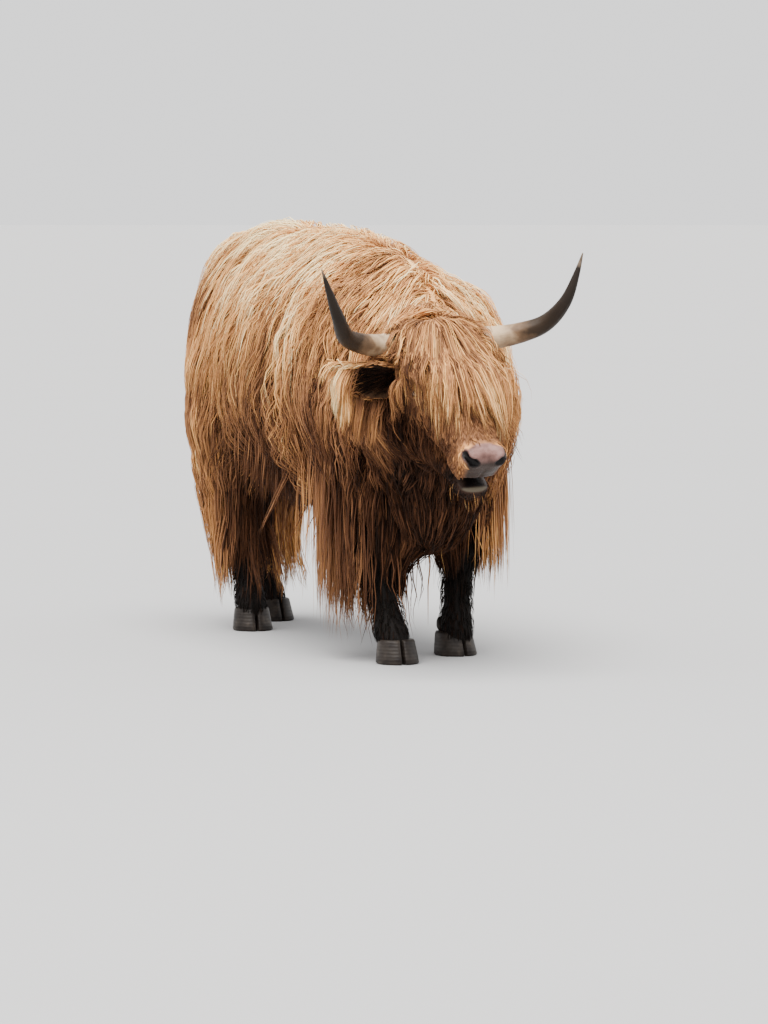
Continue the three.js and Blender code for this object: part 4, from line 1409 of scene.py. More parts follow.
    def dress(self, name: str, g: Ground, line: Array, width: Array, tone: Array,
              rng: np.random.Generator) -> bpy.types.Object:
        """Makes one mesh out of locks: each is a closed three-sided tapering prism.

        Args:
            name: The piece's name.
            g: Where the locks are rooted.
            line: The points of each lock's middle.
            width: The breadth of each lock.
            tone: The tone of each lock.
            rng: The source of chance.

        Returns:
            The piece, without its material.
        """
        count, rings = len(line), line.shape[1] - 1
        along = unit(np.gradient(line, axis=1))
        up = g.normal[:, None] - dot(along, g.normal[:, None])[..., None] * along
        roll = rng.normal(0, self.ROLL, count)[:, None, None]
        side = unit(np.cross(along, up))
        up = unit(np.cross(side, along))
        side, up = side * np.cos(roll) + up * np.sin(roll), up * np.cos(roll) - side * np.sin(roll)
        t = np.linspace(0, 1, rings + 1)
        taper = np.minimum(1, self.BLUNT + t / 0.35) * (1 - t**1.8) ** 0.75
        half = (width[:, None] / 2 * taper)[..., None]
        corners = np.stack([line - side * half, line + side * half, line + up * half * 0.7], axis=2)
        vertices = np.concatenate([corners[:, :rings].reshape(count, -1, 3), line[:, -1:]], axis=1)
        each, last = vertices.shape[1], 3 * (rings - 1)
        walls = ((1, 0), (0, 2), (2, 1))
        faces = [(3 * k + a, 3 * k + b, 3 * k + 3 + b, 3 * k + 3 + a) for k in range(rings - 1) for a, b in walls]
        faces += [(last + a, last + b, each - 1) for a, b in walls] + [(0, 1, 2)]
        order = np.array([i for face in faces for i in face])
        made = new_object(name, vertices.reshape(-1, 3), (np.arange(count)[:, None] * each + order).ravel(),
                          np.tile([len(face) for face in faces], count))
        share = np.concatenate([np.repeat(t[:rings], 3), [1.0]])
        # Painted shade darkens each lock towards its root; the lighter tip is the hair's own paler colour.
        shade = self.style.root_painted_shade * np.clip(1 - share / 0.45, 0, 1)
        tones = tone[:, None] + self.style.tip_light * share - shade
        add_values(made, "tone", np.clip(tones, 0, 1).ravel())
        across = np.concatenate([np.tile([0.0, 1.0, 0.5], rings), [0.5]])
        lay_bake_map(made, g, np.stack([across, share], axis=1)[order])
        return made


PATCH = 0.003  # the size of a lock's patch on the map OFBake
MAP_MIDDLE = 0.70  # the height that the body is unwrapped around
MAP_BACK, MAP_SPAN = 1.35, 2.3  # where the map starts before the origin, and the length of body on it


def lay_bake_map(made: bpy.types.Object, g: Ground, own: Array) -> None:
    """Lays the map OFBake: each lock is a small patch at its root's place on an unwrap of the skin.

    Args:
        made: The piece.
        g: Where the locks are rooted.
        own: Where the corners of a lock's faces lie in its patch, from 0 to 1.
    """
    x, y, z = g.place.T
    angle = np.arctan2(x - body_middle(y), z - MAP_MIDDLE) / (2 * np.pi) + 0.5
    base = np.stack([angle, (y + MAP_BACK) / MAP_SPAN], axis=1) * (1 - 2 * PATCH)
    layer = made.data.uv_layers.new(name="OFBake")
    layer.data.foreach_set("uv", (base[:, None] + own[None] * PATCH).astype(np.float32).ravel())


def sideways(places: Array) -> Array:
    """-1 on the right side of the body and 1 on the left, turning softly over a wandering line near the spine."""
    y = places[:, 1]
    parting = body_middle(y) + 0.060 * ease(-y, -0.2, 0.15) * ease(0.86 + y, 0.0, 0.2) + 0.018 * np.sin(11 * y + 1)
    return np.tanh((places[:, 0] - parting) / 0.10)


def stacked(x: Array | float, y: Array | float, z: Array | float, like: Array) -> Array:
    """Rows of x, y and z, each an array or one number."""
    return np.stack([np.broadcast_to(value, like.shape[:1]).astype(float) for value in (x, y, z)], axis=1)


class BarrelCoat(Coat):
    """The long coat of back, flanks and rump."""

    name = "coat_barrel"
    style = Style(count=9600, bends=4, width=0.0044, long=Slope(0.13, 0.06, 1.10, 0.25), wave=0.0050, tuft=0.080,
                  fold=0.30)

    def density(self, g: Ground) -> Array:
        """All over the trunk, with fewer below."""
        z, up = g.place[:, 2], g.normal[:, 2]
        trunk = g.of(Part.TRUNK) * (1 - 0.8 * ease(-up, 0.35, 0.8) + 0.7 * ease(up, 0.85, 0.97))
        return trunk + 0.3 * g.of(Part.HINDLEG) * ease(z, 0.55, 0.7)

    def depth(self, g: Ground) -> Array:
        """Thicker on the flanks and before the shoulder's edge."""
        _, y, z = g.place.T
        shoulder = ease(-y, 0.12, 0.17) * ease(1.05 - z, 0.0, 0.2)
        top = ease(g.normal[:, 2], 0.55, 0.90)
        rump = 1 - 0.50 * ease(y, 0.20, 0.55) * (1 - top)
        return (0.030 + 0.010 * ease(1.12 - z, 0.0, 0.2)) * rump + 0.001 * top + 0.016 * shoulder

    def lie(self, places: Array) -> Array:
        """From the spine out, back and down, in long waves over the shoulder."""
        _, y, z = places.T
        back = np.interp(y, [-0.55, -0.40, -0.28, -0.10, 0.10, 0.50, 0.75], [-0.25, -0.1, 0.25, 0.50, 0.62, 0.50, 0.2])
        back = back * (1 - 0.55 * ease(0.95 - z, 0.0, 0.3))
        swing = 0.38 * drift(places, 0.09, 6) * ease(1.10 - z, 0.0, 0.15)
        out = sideways(places)
        return unit(stacked(0.9 * out, back + swing + 0.4 * (1 - np.abs(out)), -0.9, places))


class BarrelGuard(BarrelCoat):
    """The long strands that lie over the coat of the trunk."""

    name = "guard_barrel"
    style = replace(BarrelCoat.style, count=5300, bends=8, width=0.0034, long=Slope(0.20, 0.08, 1.10, 0.2),
                    clump=0.040, gather=0.40, wave=0.0110, wavelength=0.15, inner=0.70, relief=0.25)


class BellyCoat(Coat):
    """The hair that hangs under the belly."""

    name = "coat_belly"
    style = Style("coat_russet", count=2000, width=0.0046, long=Slope(0.15), deep=Slope(0.03),
                  heading=(0.0, 0.25, -1.0), lift=1.0, fall=0.8, hold=0.0, wave=0.0065)

    def density(self, g: Ground) -> Array:
        """Under the trunk."""
        return g.of(Part.TRUNK) * ease(-g.normal[:, 2], 0.1, 0.7)


class NeckCoat(Coat):
    """The coat of neck and shoulders."""

    name = "coat_neck"
    style = Style(count=3800, bends=4, width=0.0044, long=Slope(0.14, 0.05, 0.95, 0.3), wave=0.0060, tuft=0.080,
                  fold=0.30)

    def density(self, g: Ground) -> Array:
        """All over the neck but its lower edge."""
        return g.of(Part.NECK) * ease(g.place[:, 2], 0.46, 0.62) * (1 + 0.7 * ease(g.normal[:, 2], 0.85, 0.97))

    def depth(self, g: Ground) -> Array:
        """Thicker on the sides and thinner behind the poll."""
        _, y, z = g.place.T
        poll = ease(-y, 0.70, 0.82) * ease(z, 0.86, 0.94)
        return (0.028 + 0.016 * ease(1.0 - z, 0.0, 0.2)) * (1 - 0.5 * poll)

    def lie(self, places: Array) -> Array:
        """From the crest out and down."""
        back = np.interp(places[:, 1], [-0.85, -0.72, -0.6, -0.4], [-0.15, -0.25, -0.20, -0.1])
        swing = 0.25 * drift(places, 0.09, 7)
        out = sideways(places)
        return unit(stacked(0.8 * out, back + swing + 0.4 * (1 - np.abs(out)), -1.0, places))


class NeckGuard(NeckCoat):
    """The long strands that lie over the coat of the neck."""

    name = "guard_neck"
    style = replace(NeckCoat.style, count=1900, bends=7, width=0.0034, long=Slope(0.19, 0.04, 0.95, 0.2),
                    clump=0.036, gather=0.40, wave=0.0120, wavelength=0.14, inner=0.70, relief=0.25)

    def density(self, g: Ground) -> Array:
        """The upper half of the neck."""
        x, y, z = g.place.T
        poll = ease(-y, 0.72, 0.80) * np.maximum(ease(z, 0.86, 0.92), ease(x, 0.04, 0.09))
        return g.of(Part.NECK) * ease(z, 0.62, 0.76) * (1 - poll)


class BrisketCoat(Coat):
    """The long hair of throat, chest and brisket, its own dark reddish brown deepened by painted shade."""

    name = "coat_brisket"
    style = Style("coat_russet", count=4200, width=0.0044, long=Slope(0.13, 0.08, 0.65, 0.2),
                  heading=(0.04, -0.05, -1.0), lift=0.45, fall=0.5, hold=0.45, wave=0.0065)

    def density(self, g: Ground) -> Array:
        """The throat and the lower half of the neck, with fewer on its sides."""
        z = g.place[:, 2]
        flat = 1 - 0.4 * ease(np.abs(g.normal[:, 0]), 0.5, 0.8) * ease(z, 0.50, 0.62)
        throat = g.of(Part.HEAD) * ease(g.head[:, 1], -0.12, -0.02)
        return (g.of(Part.NECK) * flat + throat) * ease(0.80 - z, 0.0, 0.2)

    def depth(self, g: Ground) -> Array:
        """A thick ruff."""
        return 0.030 + 0.018 * ease(-g.normal[:, 1], 0.2, 0.8)


class HaunchCoat(Coat):
    """The hair of the thighs, down to the curtains that hang over the hocks."""

    name = "coat_haunch"
    nodes = ("hindleg_right_curtain", "hindleg_left_curtain")
    style = Style("coat_russet", count=5200, width=0.0046, deep=Slope(0.030, 0.034, 0.62, 0.14),
                  heading=(0.03, 0.10, -1.0), clump=0.030, lift=0.40, fall=0.40, hold=0.50, wave=0.0110,
                  wavelength=0.13, fold=0.25)

    def density(self, g: Ground) -> Array:
        """Thighs, gaskins and the backs of the cannons."""
        z = g.place[:, 2]
        return g.of(Part.HINDLEG) * ease(z, 0.26, 0.36) * (1 - 0.5 * ease(z, 0.6, 0.8))

    def length(self, g: Ground) -> Array:
        """Down to the hem of the curtains from lower roots."""
        x, _, z = g.place.T
        hem = np.where(x < 0, 0.085, 0.045)
        return np.where(z < 0.50, np.minimum(0.28, z - hem + 0.02), 0.22)

    def tone(self, g: Ground) -> Array:
        """Ginger brown outside, with painted shade on the inner side of the right haunch."""
        x, inward = g.place[:, 0], g.normal[:, 0] - 0.8 * g.normal[:, 1]
        # Painted shade on the inner side of the right haunch's curtain; the left haunch is a little darker all over.
        shade = 0.36 * ease(inward, -0.3, 0.6) * (x < -0.03) + 0.06 * (x > -0.03)
        return 0.67 - shade * 1.15 + 0.05 * drift(g.place, 0.05, 9)

    @staticmethod
    def rise(t: Array) -> Array:
        """The tips hang as far out as the middles."""
        return np.minimum(1, np.asarray(t) / 0.3) ** 0.7


class ForelegCoat(Coat):
    """The hair of the upper forelegs, shorter and thinner towards the knee."""

    name = "coat_foreleg"
    style = Style("coat_russet", count=2400, width=0.0042, heading=(0.0, 0.15, -1.0), fall=0.4, hold=0.4)

    def density(self, g: Ground) -> Array:
        """From the elbow down to the knee."""
        return g.of(Part.FORELEG) * ease(g.place[:, 2], 0.30, 0.42)

    def length(self, g: Ground) -> Array:
        """A hand's breadth above the knee."""
        return 0.06 + 0.09 * ease(g.place[:, 2], 0.36, 0.60)

    def depth(self, g: Ground) -> Array:
        """Some three centimetres at the elbow."""
        return 0.012 + 0.020 * ease(g.place[:, 2], 0.36, 0.60)


class FringeCoat(Coat):
    """The long fringes behind the elbows."""

    name = "coat_fringe"
    nodes = ("fringe_left", "fringe_right")
    style = Style("coat_russet", count=1900, bends=6, width=0.0044, deep=Slope(0.045), gather=0.40, wave=0.014,
                  wavelength=0.13, lift=0.6, fall=0.9, hold=0.0)

    def density(self, g: Ground) -> Array:
        """Behind the elbows."""
        right = blob(g.place, (-0.20, -0.40, 0.47), (0.10, 0.085, 0.11))
        left = blob(g.place, (0.20, -0.38, 0.50), (0.09, 0.09, 0.09)) * 0.9
        return right + left

    def length(self, g: Ground) -> Array:
        """Down to the hem, which is lower on the right."""
        hem = np.where(g.place[:, 0] < 0, 0.075, 0.20)
        return np.clip(g.place[:, 2] - hem, 0.05, 0.42)

    def tone(self, g: Ground) -> Array:
        """Dark by the leg and lighter behind it."""
        right = 0.38 + 0.20 * ease(g.place[:, 1], -0.52, -0.40)
        return np.where(g.place[:, 0] < 0, right, 0.66) + 0.05 * drift(g.place, 0.05, 9)


class ShankCoat(Coat):
    """The short dark hair of the lower legs."""

    name = "coat_shank"
    style = Style("coat_dark", count=4300, bends=3, width=0.0034, clump=0.016, wave=0.0010, lift=0.30, fall=0.1)

    def density(self, g: Ground) -> Array:
        """Below knee and hock."""
        z = g.place[:, 2]
        return g.of(Part.FORELEG, Part.HINDLEG) * ease(0.46 - z, 0.0, 0.06) * ease(z, 0.045, 0.06)

    def length(self, g: Ground) -> Array:
        """Longer over the hooves and behind the pasterns."""
        z = g.place[:, 2]
        return 0.036 + 0.014 * ease(0.12 - z, 0.0, 0.05) + 0.03 * g.of(Part.FORELEG) * ease(z, 0.12, 0.24)

    def depth(self, g: Ground) -> Array:
        """Close to the skin."""
        return 0.008 + 0.012 * ease(g.place[:, 2], 0.10, 0.20)


class TailCoat(Coat):
    """The hair of the tail and its switch."""

    name = "coat_tail"
    nodes = ("tail_switch",)
    style = Style(count=1300, bends=6, width=0.0044, long=Slope(0.09, 0.12, 0.66, 0.2),
                  deep=Slope(0.010, 0.020, 0.66, 0.2), lift=0.25, fall=0.6, hold=0.6)

    def density(self, g: Ground) -> Array:
        """Thickest at the switch."""
        return g.of(Part.TAIL) * (1 + 4 * ease(0.66 - g.place[:, 2], 0.0, 0.2))

    def lie(self, places: Array) -> Array:
        """Down the tail."""
        return unit(stacked(0.0, np.interp(places[:, 2], [1.0, 1.09], [0.0, 0.9]), -1.0, places))


class FaceCoat(Coat):
    """The coat of face, cheeks and jaw."""

    name = "coat_face"
    style = Style("coat_russet", count=4600, bends=4, width=0.0026, clump=0.014, wave=0.0025, wavelength=0.06,
                  lift=0.4, fall=0.25, hold=0.6, root_painted_shade=0.12)

    NOSTRILS = ((0.055, -0.394, -0.029), (0.043, -0.414, -0.036))  # the corners of the left one

    def density(self, g: Ground) -> Array:
        """All over the head but the nose, the lips and the rims of the eyes."""
        x, y, z = g.head.T
        eyes = np.minimum(np.linalg.norm(g.head - np.array(EYE_PLACE), axis=1),
                          np.linalg.norm(g.head - np.array(mirrored(EYE_PLACE, -1)), axis=1))
        bare = ease(-y, 0.352, 0.366) * ease(z, -0.05, -0.03) * ease(0.056 - np.abs(x), 0.0, 0.01)
        front = 0.394 + 0.016 * ease(np.abs(x), 0.042, 0.054)
        bare = np.maximum(bare, ease(-y - front, 0.0, 0.010) * ease(z, -0.156, -0.149))
        bare = np.maximum(bare, ease(-y, 0.320, 0.340) * ease(-z, 0.112, 0.119) * ease(z, -0.154, -0.148))
        fine = 1 + 1.8 * np.maximum(ease(z, -0.10, -0.05), ease(-y, 0.24, 0.32))
        for nostril in self.NOSTRILS:
            gap = np.linalg.norm(np.stack([np.abs(x), y, z], axis=1) - np.array(nostril), axis=1)
            fine = fine * ease(gap, 0.016, 0.022)
        poll = 1 - ease(y, -0.08, -0.04) * ease(z, -0.10, -0.06)
        return g.of(Part.HEAD) * (1 - bare) * ease(eyes, 0.030, 0.036) * fine * poll

    def _shag(self, g: Ground) -> Array:
        """How shaggy the face is: not at all at the nose, fully on the cheeks."""
        return ease(-g.head[:, 2], 0.05, 0.13) * ease(0.34 + g.head[:, 1], 0.0, 0.14)

    def length(self, g: Ground) -> Array:
        """Short on the bridge of the nose and long on the cheeks."""
        return 0.020 + 0.018 * ease(0.34 + g.head[:, 1], 0.0, 0.10) + 0.062 * self._shag(g)

    def depth(self, g: Ground) -> Array:
        """Thicker on the cheeks."""
        return 0.0055 + 0.004 * ease(0.34 + g.head[:, 1], 0.0, 0.10) + 0.018 * self._shag(g)

    def lie(self, places: Array) -> Array:
        """Down, back along the jaw and forward on the bridge of the nose."""
        bridge = ease(HEAD.into(places)[:, 2], -0.10, -0.04)[:, None]
        cheek = stacked(0.0, 0.20, -1.0, places)
        return unit(HEAD.aim(np.array([[0.0, -1.0, -0.1]])) * bridge + cheek * (1 - bridge))


class Forelock(Coat):
    """The forelock, from the poll down over the face."""

    name = "forelock"
    nodes = ("forelock",)
    style = Style("coat_pale", count=4000, bends=6, width=0.0026, clump=0.016, gather=0.5, loose=0.3, wave=0.0055,
                  wavelength=0.13, lift=0.5, follow=0.6, fall=0.65, hold=0.25, streak=0.05, patchy=0.03, tuft=0.04,
                  root_painted_shade=0.12, relief=0.3)

    EDGE = 0.160  # how far to each side it spreads

    def density(self, g: Ground) -> Array:
        """Over the poll and the brow."""
        _, y, z = g.head.T
        return g.of(Part.HEAD, Part.NECK) * ease(z, -0.085, -0.04) * ease(0.10 - y, 0.0, 0.03) * ease(y, -0.14, -0.08)

    def length(self, g: Ground) -> Array:
        """Longest from the poll, and shorter at the sides."""
        x, y, _ = g.head.T
        return (0.235 + 0.145 * ease(y, -0.12, 0.0)) * (1 - 0.46 * ease(-x, -0.015, 0.085) - 0.08 * ease(x, 0.07, 0.12))

    def depth(self, g: Ground) -> Array:
        """A cap that thickens down the face."""
        return 0.026 + 0.020 * ease(-g.head[:, 1], 0.0, 0.10)

    def lie(self, places: Array) -> Array:
        """Forward and down the face, spreading to both sides up to an edge."""
        x, y, _ = HEAD.into(places).T
        share = x / self.EDGE
        out = (1.5 + 2.0 * ease(y, -0.08, -0.02)) * share * (1 - np.abs(share)).clip(-0.6)
        hang = 0.75 * ease(np.abs(x), 0.04, 0.11)[:, None]
        return unit(HEAD.aim(unit(stacked(out, -1.0, -0.15, places))) * (1 - hang) + DOWN * hang)

    def tone(self, g: Ground) -> Array:
        """Blond strands among darker ones, with painted shade down the right edge."""
        mix = drift(g.place * np.array([1.0, 0.3, 0.3]), 0.006, 8)
        # Painted shade down the right edge of the forelock.
        shade = ease(-g.head[:, 0], 0.055, 0.085) * ease(-g.head[:, 1], 0.0, 0.05)
        return 0.56 + 0.28 * ease(mix, -0.25, 0.45) - 0.24 * shade


class HornCollar(Forelock):
    """The hair that wraps the roots of the horns."""

    name = "collar_horn"
    nodes = ()
    style = replace(Forelock.style, count=760, bends=5, clump=0.014, lift=0.9, fall=0.30, hold=0.0)

    def density(self, g: Ground) -> Array:
        """Around the roots of the horns."""
        x, y, z = g.head.T
        root = ease(np.abs(x), 0.085, 0.105) * ease(z, -0.10, -0.06) * ease(0.07 - y, 0.0, 0.03) * ease(y, -0.06, -0.03)
        return g.of(Part.HEAD, Part.NECK) * root * np.where(x < 0, 1, 0.4)

    def length(self, g: Ground) -> Array:
        """A hand's breadth."""
        return np.where(g.head[:, 0] < 0, 0.105, 0.075)

    def depth(self, g: Ground) -> Array:
        """Over the thickness of the horn."""
        return np.full(len(g.place), 0.038)

    def lie(self, places: Array) -> Array:
        """Out along the horn and forward, then down."""
        out = np.where(HEAD.into(places)[:, 0] < 0, -1.3, 0.5)
        return unit(HEAD.aim(unit(stacked(out, -0.9, 0.15, places))) + np.where(out < 0, 0.3, 0.8)[:, None] * DOWN)


class Whiskers(Coat):
    """The pale whiskers of lips and chin."""

    name = "whiskers"
    style = Style("coat_pale", count=24, bends=4, width=0.0009, long=Slope(0.045), deep=Slope(0.012), clump=0.004,
                  lift=0.7, wave=0.0015, fall=0.25, hold=0.0)

    def density(self, g: Ground) -> Array:
        """About the lower lip and the chin."""
        _, y, z = g.head.T
        return g.of(Part.HEAD) * ease(-z, 0.145, 0.155) * ease(-y, 0.33, 0.37)

    def lie(self, places: Array) -> Array:
        """Forward and down."""
        return unit(HEAD.aim(np.array([[0.0, -1.0, 0.2]])) + DOWN + np.zeros((len(places), 3)))

    def tone(self, g: Ground) -> Array:
        """Pale."""
        return np.full(len(g.place), 0.80)


class EarCoat(Coat):
    """The short thin coat of the ears."""

    name = "coat_ear"
    style = Style("coat_pale", count=1000, bends=4, width=0.0030, long=Slope(0.05), deep=Slope(0.010), clump=0.018,
                  wave=0.003, lift=0.3, fall=0.2)

    def _opening(self, g: Ground) -> Array:
        """How much each place faces the way the ear opens."""
        opens = np.where(g.head[:, :1] < 0, unit(np.array(EAR_OPENS["right"])), unit(np.array(EAR_OPENS["left"])))
        return dot(g.normal @ HEAD.turn, opens)

    def density(self, g: Ground) -> Array:
        """The backs of the ears, and their ends."""
        return g.of(Part.EAR) * np.maximum(ease(-self._opening(g), -0.5, 0.1), ease(np.abs(g.head[:, 0]), 0.215, 0.245))

    def lie(self, places: Array) -> Array:
        """Out along the ear."""
        return HEAD.aim(unit(stacked(np.sign(HEAD.into(places)[:, 0]), 0.0, -0.1, places)))

    def tone(self, g: Ground) -> Array:
        """Cream at the end of the ear."""
        return 0.66 + 0.32 * ease(-g.head[:, 0], 0.22, 0.265)


class EarFringe(EarCoat):
    """The long fringe that hangs from the ears."""

    name = "fringe_ear"
    style = replace(EarCoat.style, count=1500, bends=6, width=0.0032, deep=Slope(0.008), clump=0.022, wave=0.006,
                    lift=0.3, stiff=1.5, follow=0.3, fall=0.40, hold=0.0)

    def density(self, g: Ground) -> Array:
        """The end of the ear, and the edges of its outer half."""
        x, below = np.abs(g.head[:, 0]), ease(-g.head[:, 2], 0.088, 0.104)
        edge = below * ease(x, 0.13, 0.18) * ease(-self._opening(g), -0.4, 0.2)
        return g.of(Part.EAR) * (ease(x, 0.235, 0.275) + edge)

    def length(self, g: Ground) -> Array:
        """Long on the right and short on the left."""
        x = g.head[:, 0]
        return (0.155 - 0.070 * ease(-x, 0.25, 0.285)) * np.where(x < 0, 1, 0.3)

    def lie(self, places: Array) -> Array:
        """Out along the right ear and down."""
        out = np.where(HEAD.into(places)[:, 0] < 0, -0.35, 0.0)
        return unit(HEAD.aim(stacked(out, 0.0, -0.1, places)) + DOWN)

    def tone(self, g: Ground) -> Array:
        """Cream at the end of the ear and ginger below."""
        return 0.58 + 0.40 * ease(-g.head[:, 0], 0.24, 0.28) + 0.06 * drift(g.place, 0.012, 9)


class EarHollowShade(EarCoat):
    """Short near-black hair inside the right ear, as painted shade in its opening."""

    name = "painted_shade_ear"
    style = replace(EarCoat.style, slot="coat_dark", count=700, bends=3, width=0.0022, long=Slope(0.040),
                    clump=0.010, lift=0.6, fall=0.15)

    def density(self, g: Ground) -> Array:
        """The inner half of the right ear's opening."""
        x, y, _ = g.head.T
        inside = g.of(Part.EAR, Part.HEAD) * ease(self._opening(g), 0.2, 0.6)
        return inside * ease(-x, 0.10, 0.13) * ease(0.238 + x, 0.0, 0.03) * ease(y, -0.10, -0.08)

    def tone(self, g: Ground) -> Array:
        """Nearly black, as painted shade."""
        # Near black: painted shade in the opening of the ear.
        return np.full(len(g.place), 0.10)


COATS: tuple[type[Coat], ...] = (
    BarrelCoat, BarrelGuard, BellyCoat, NeckCoat, NeckGuard, BrisketCoat, HaunchCoat, ForelegCoat, FringeCoat,
    ShankCoat, TailCoat, FaceCoat, Forelock, HornCollar, Whiskers, EarCoat, EarFringe, EarHollowShade,
)


# ---- Horns, hooves and eyes ----


@dataclass
class Horn:
    """One horn: a ringed root, a long sweep outward and an upward tip."""

    side_name: str
    radius: float = 0.030
    tip: float = 0.0018
    taper: float = 2.1
    ridge: float = 0.0011
    rings: int = 150
    spokes: int = 40

    LINE = ((0.030, 0.008, -0.054), (0.092, 0.008, -0.050), (0.134, 0.000, -0.042), (0.179, -0.011, -0.028),
            (0.238, -0.020, -0.003), (0.285, -0.024, 0.027), (0.329, -0.014, 0.100), (0.361, 0.032, 0.165),
            (0.379, 0.068, 0.204))

    def build(self) -> bpy.types.Object:
        """Lofts the horn along its line."""
        side = SIDES[self.side_name]
        line = np.array([mirrored(p, side) for p in self.LINE])
        run = np.concatenate([[0], np.linalg.norm(np.diff(line, axis=0), axis=1).cumsum()])
        root = run[1] / run[-1]
        share = np.linspace(0, 1, self.rings) ** 0.9  # rings are a little closer at the tip
        middle = smooth_through(run / run[-1], line, share)
        along = unit(np.gradient(middle, axis=0))
        across = unit(np.cross(along, np.array([0.0, 1.0, 0.3])))
        over = np.cross(along, across)
        body = np.clip((share - root) / (1 - root), 0, 1)
        radius = self.radius * (1 - body**self.taper) * (1 - 0.12 * body) + self.tip
        ridges = self.ridge * np.sin(body * 95) * np.exp(-((body / 0.20) ** 2))
        angle = circle(self.spokes)
        flutes = 1 + 0.010 * np.sin(5 * angle[None] + 3 * body[:, None]) + 0.006 * np.sin(11 * angle[None])
        reach = (radius + ridges)[:, None] * flutes
        points = (middle[:, None] + across[:, None] * (np.cos(angle)[None] * reach)[..., None]
                  + over[:, None] * (np.sin(angle)[None] * reach)[..., None]).reshape(-1, 3)
        points = np.concatenate([points, middle[:1], middle[-1:] + along[-1:] * 0.0016])
        faces = tube_faces(self.rings, self.spokes)
        made = from_faces(f"horn_fine_{self.side_name}", HEAD.out(points), faces)
        grain = np.concatenate([np.tile(np.abs(np.linspace(-1, 1, self.spokes)), self.rings), [0.5, 0.5]])
        add_values(made, "along", np.concatenate([np.repeat(body, self.spokes), [0, 1]]))
        add_values(made, "grain", grain)
        return finished(made, HornFinish(), "horn", f"horn_{self.side_name}")


@dataclass
class Eye:
    """One eye: a ball with a bulging cornea and a level pupil."""

    side_name: str
    radius: float = EYE_RADIUS
    bulge: float = 0.07  # how far the cornea stands out, as a share of the radius
    pupil: float = 0.17  # half its height, as a share of the radius
    rings: int = 40
    spokes: int = 56

    def build(self, lid: tuple[Array, Array, Array, Array]) -> bpy.types.Object:
        """Makes the ball about its line of sight."""
        place, looks, slit, up = lid
        polar = np.linspace(0, np.pi, self.rings + 1)[1:-1]
        angle = circle(self.spokes)[None, :, None]
        reach = self.radius * (1 + self.bulge * np.exp(-((polar / 0.42) ** 2)))
        ring = np.sin(polar)[:, None, None] * (np.cos(angle) * slit + np.sin(angle) * up)
        points = (np.cos(polar)[:, None, None] * looks + ring) * reach[:, None, None]
        ends = np.array([looks * self.radius * (1 + self.bulge), -looks * self.radius])
        points = np.concatenate([points.reshape(-1, 3), ends]) + place
        faces = [face[::-1] for face in tube_faces(self.rings - 1, self.spokes)]
        made = from_faces(f"eye_fine_{self.side_name}", points, faces)
        q = unit(points - place)
        across, rise, out = q @ slit, q @ up, q @ looks
        pupil = np.sqrt((across / 1.7) ** 2 + rise**2)
        around = 0.36 + 0.6 * np.clip((np.hypot(across, rise) - 0.2) / 0.55, 0, 1)
        iris = np.where(pupil < self.pupil, pupil / self.pupil * 0.3, around)
        add_values(made, "iris", np.where(out > 0, iris, 1.0))
        return finished(made, EyeFinish(), "eye", f"eye_{self.side_name}")


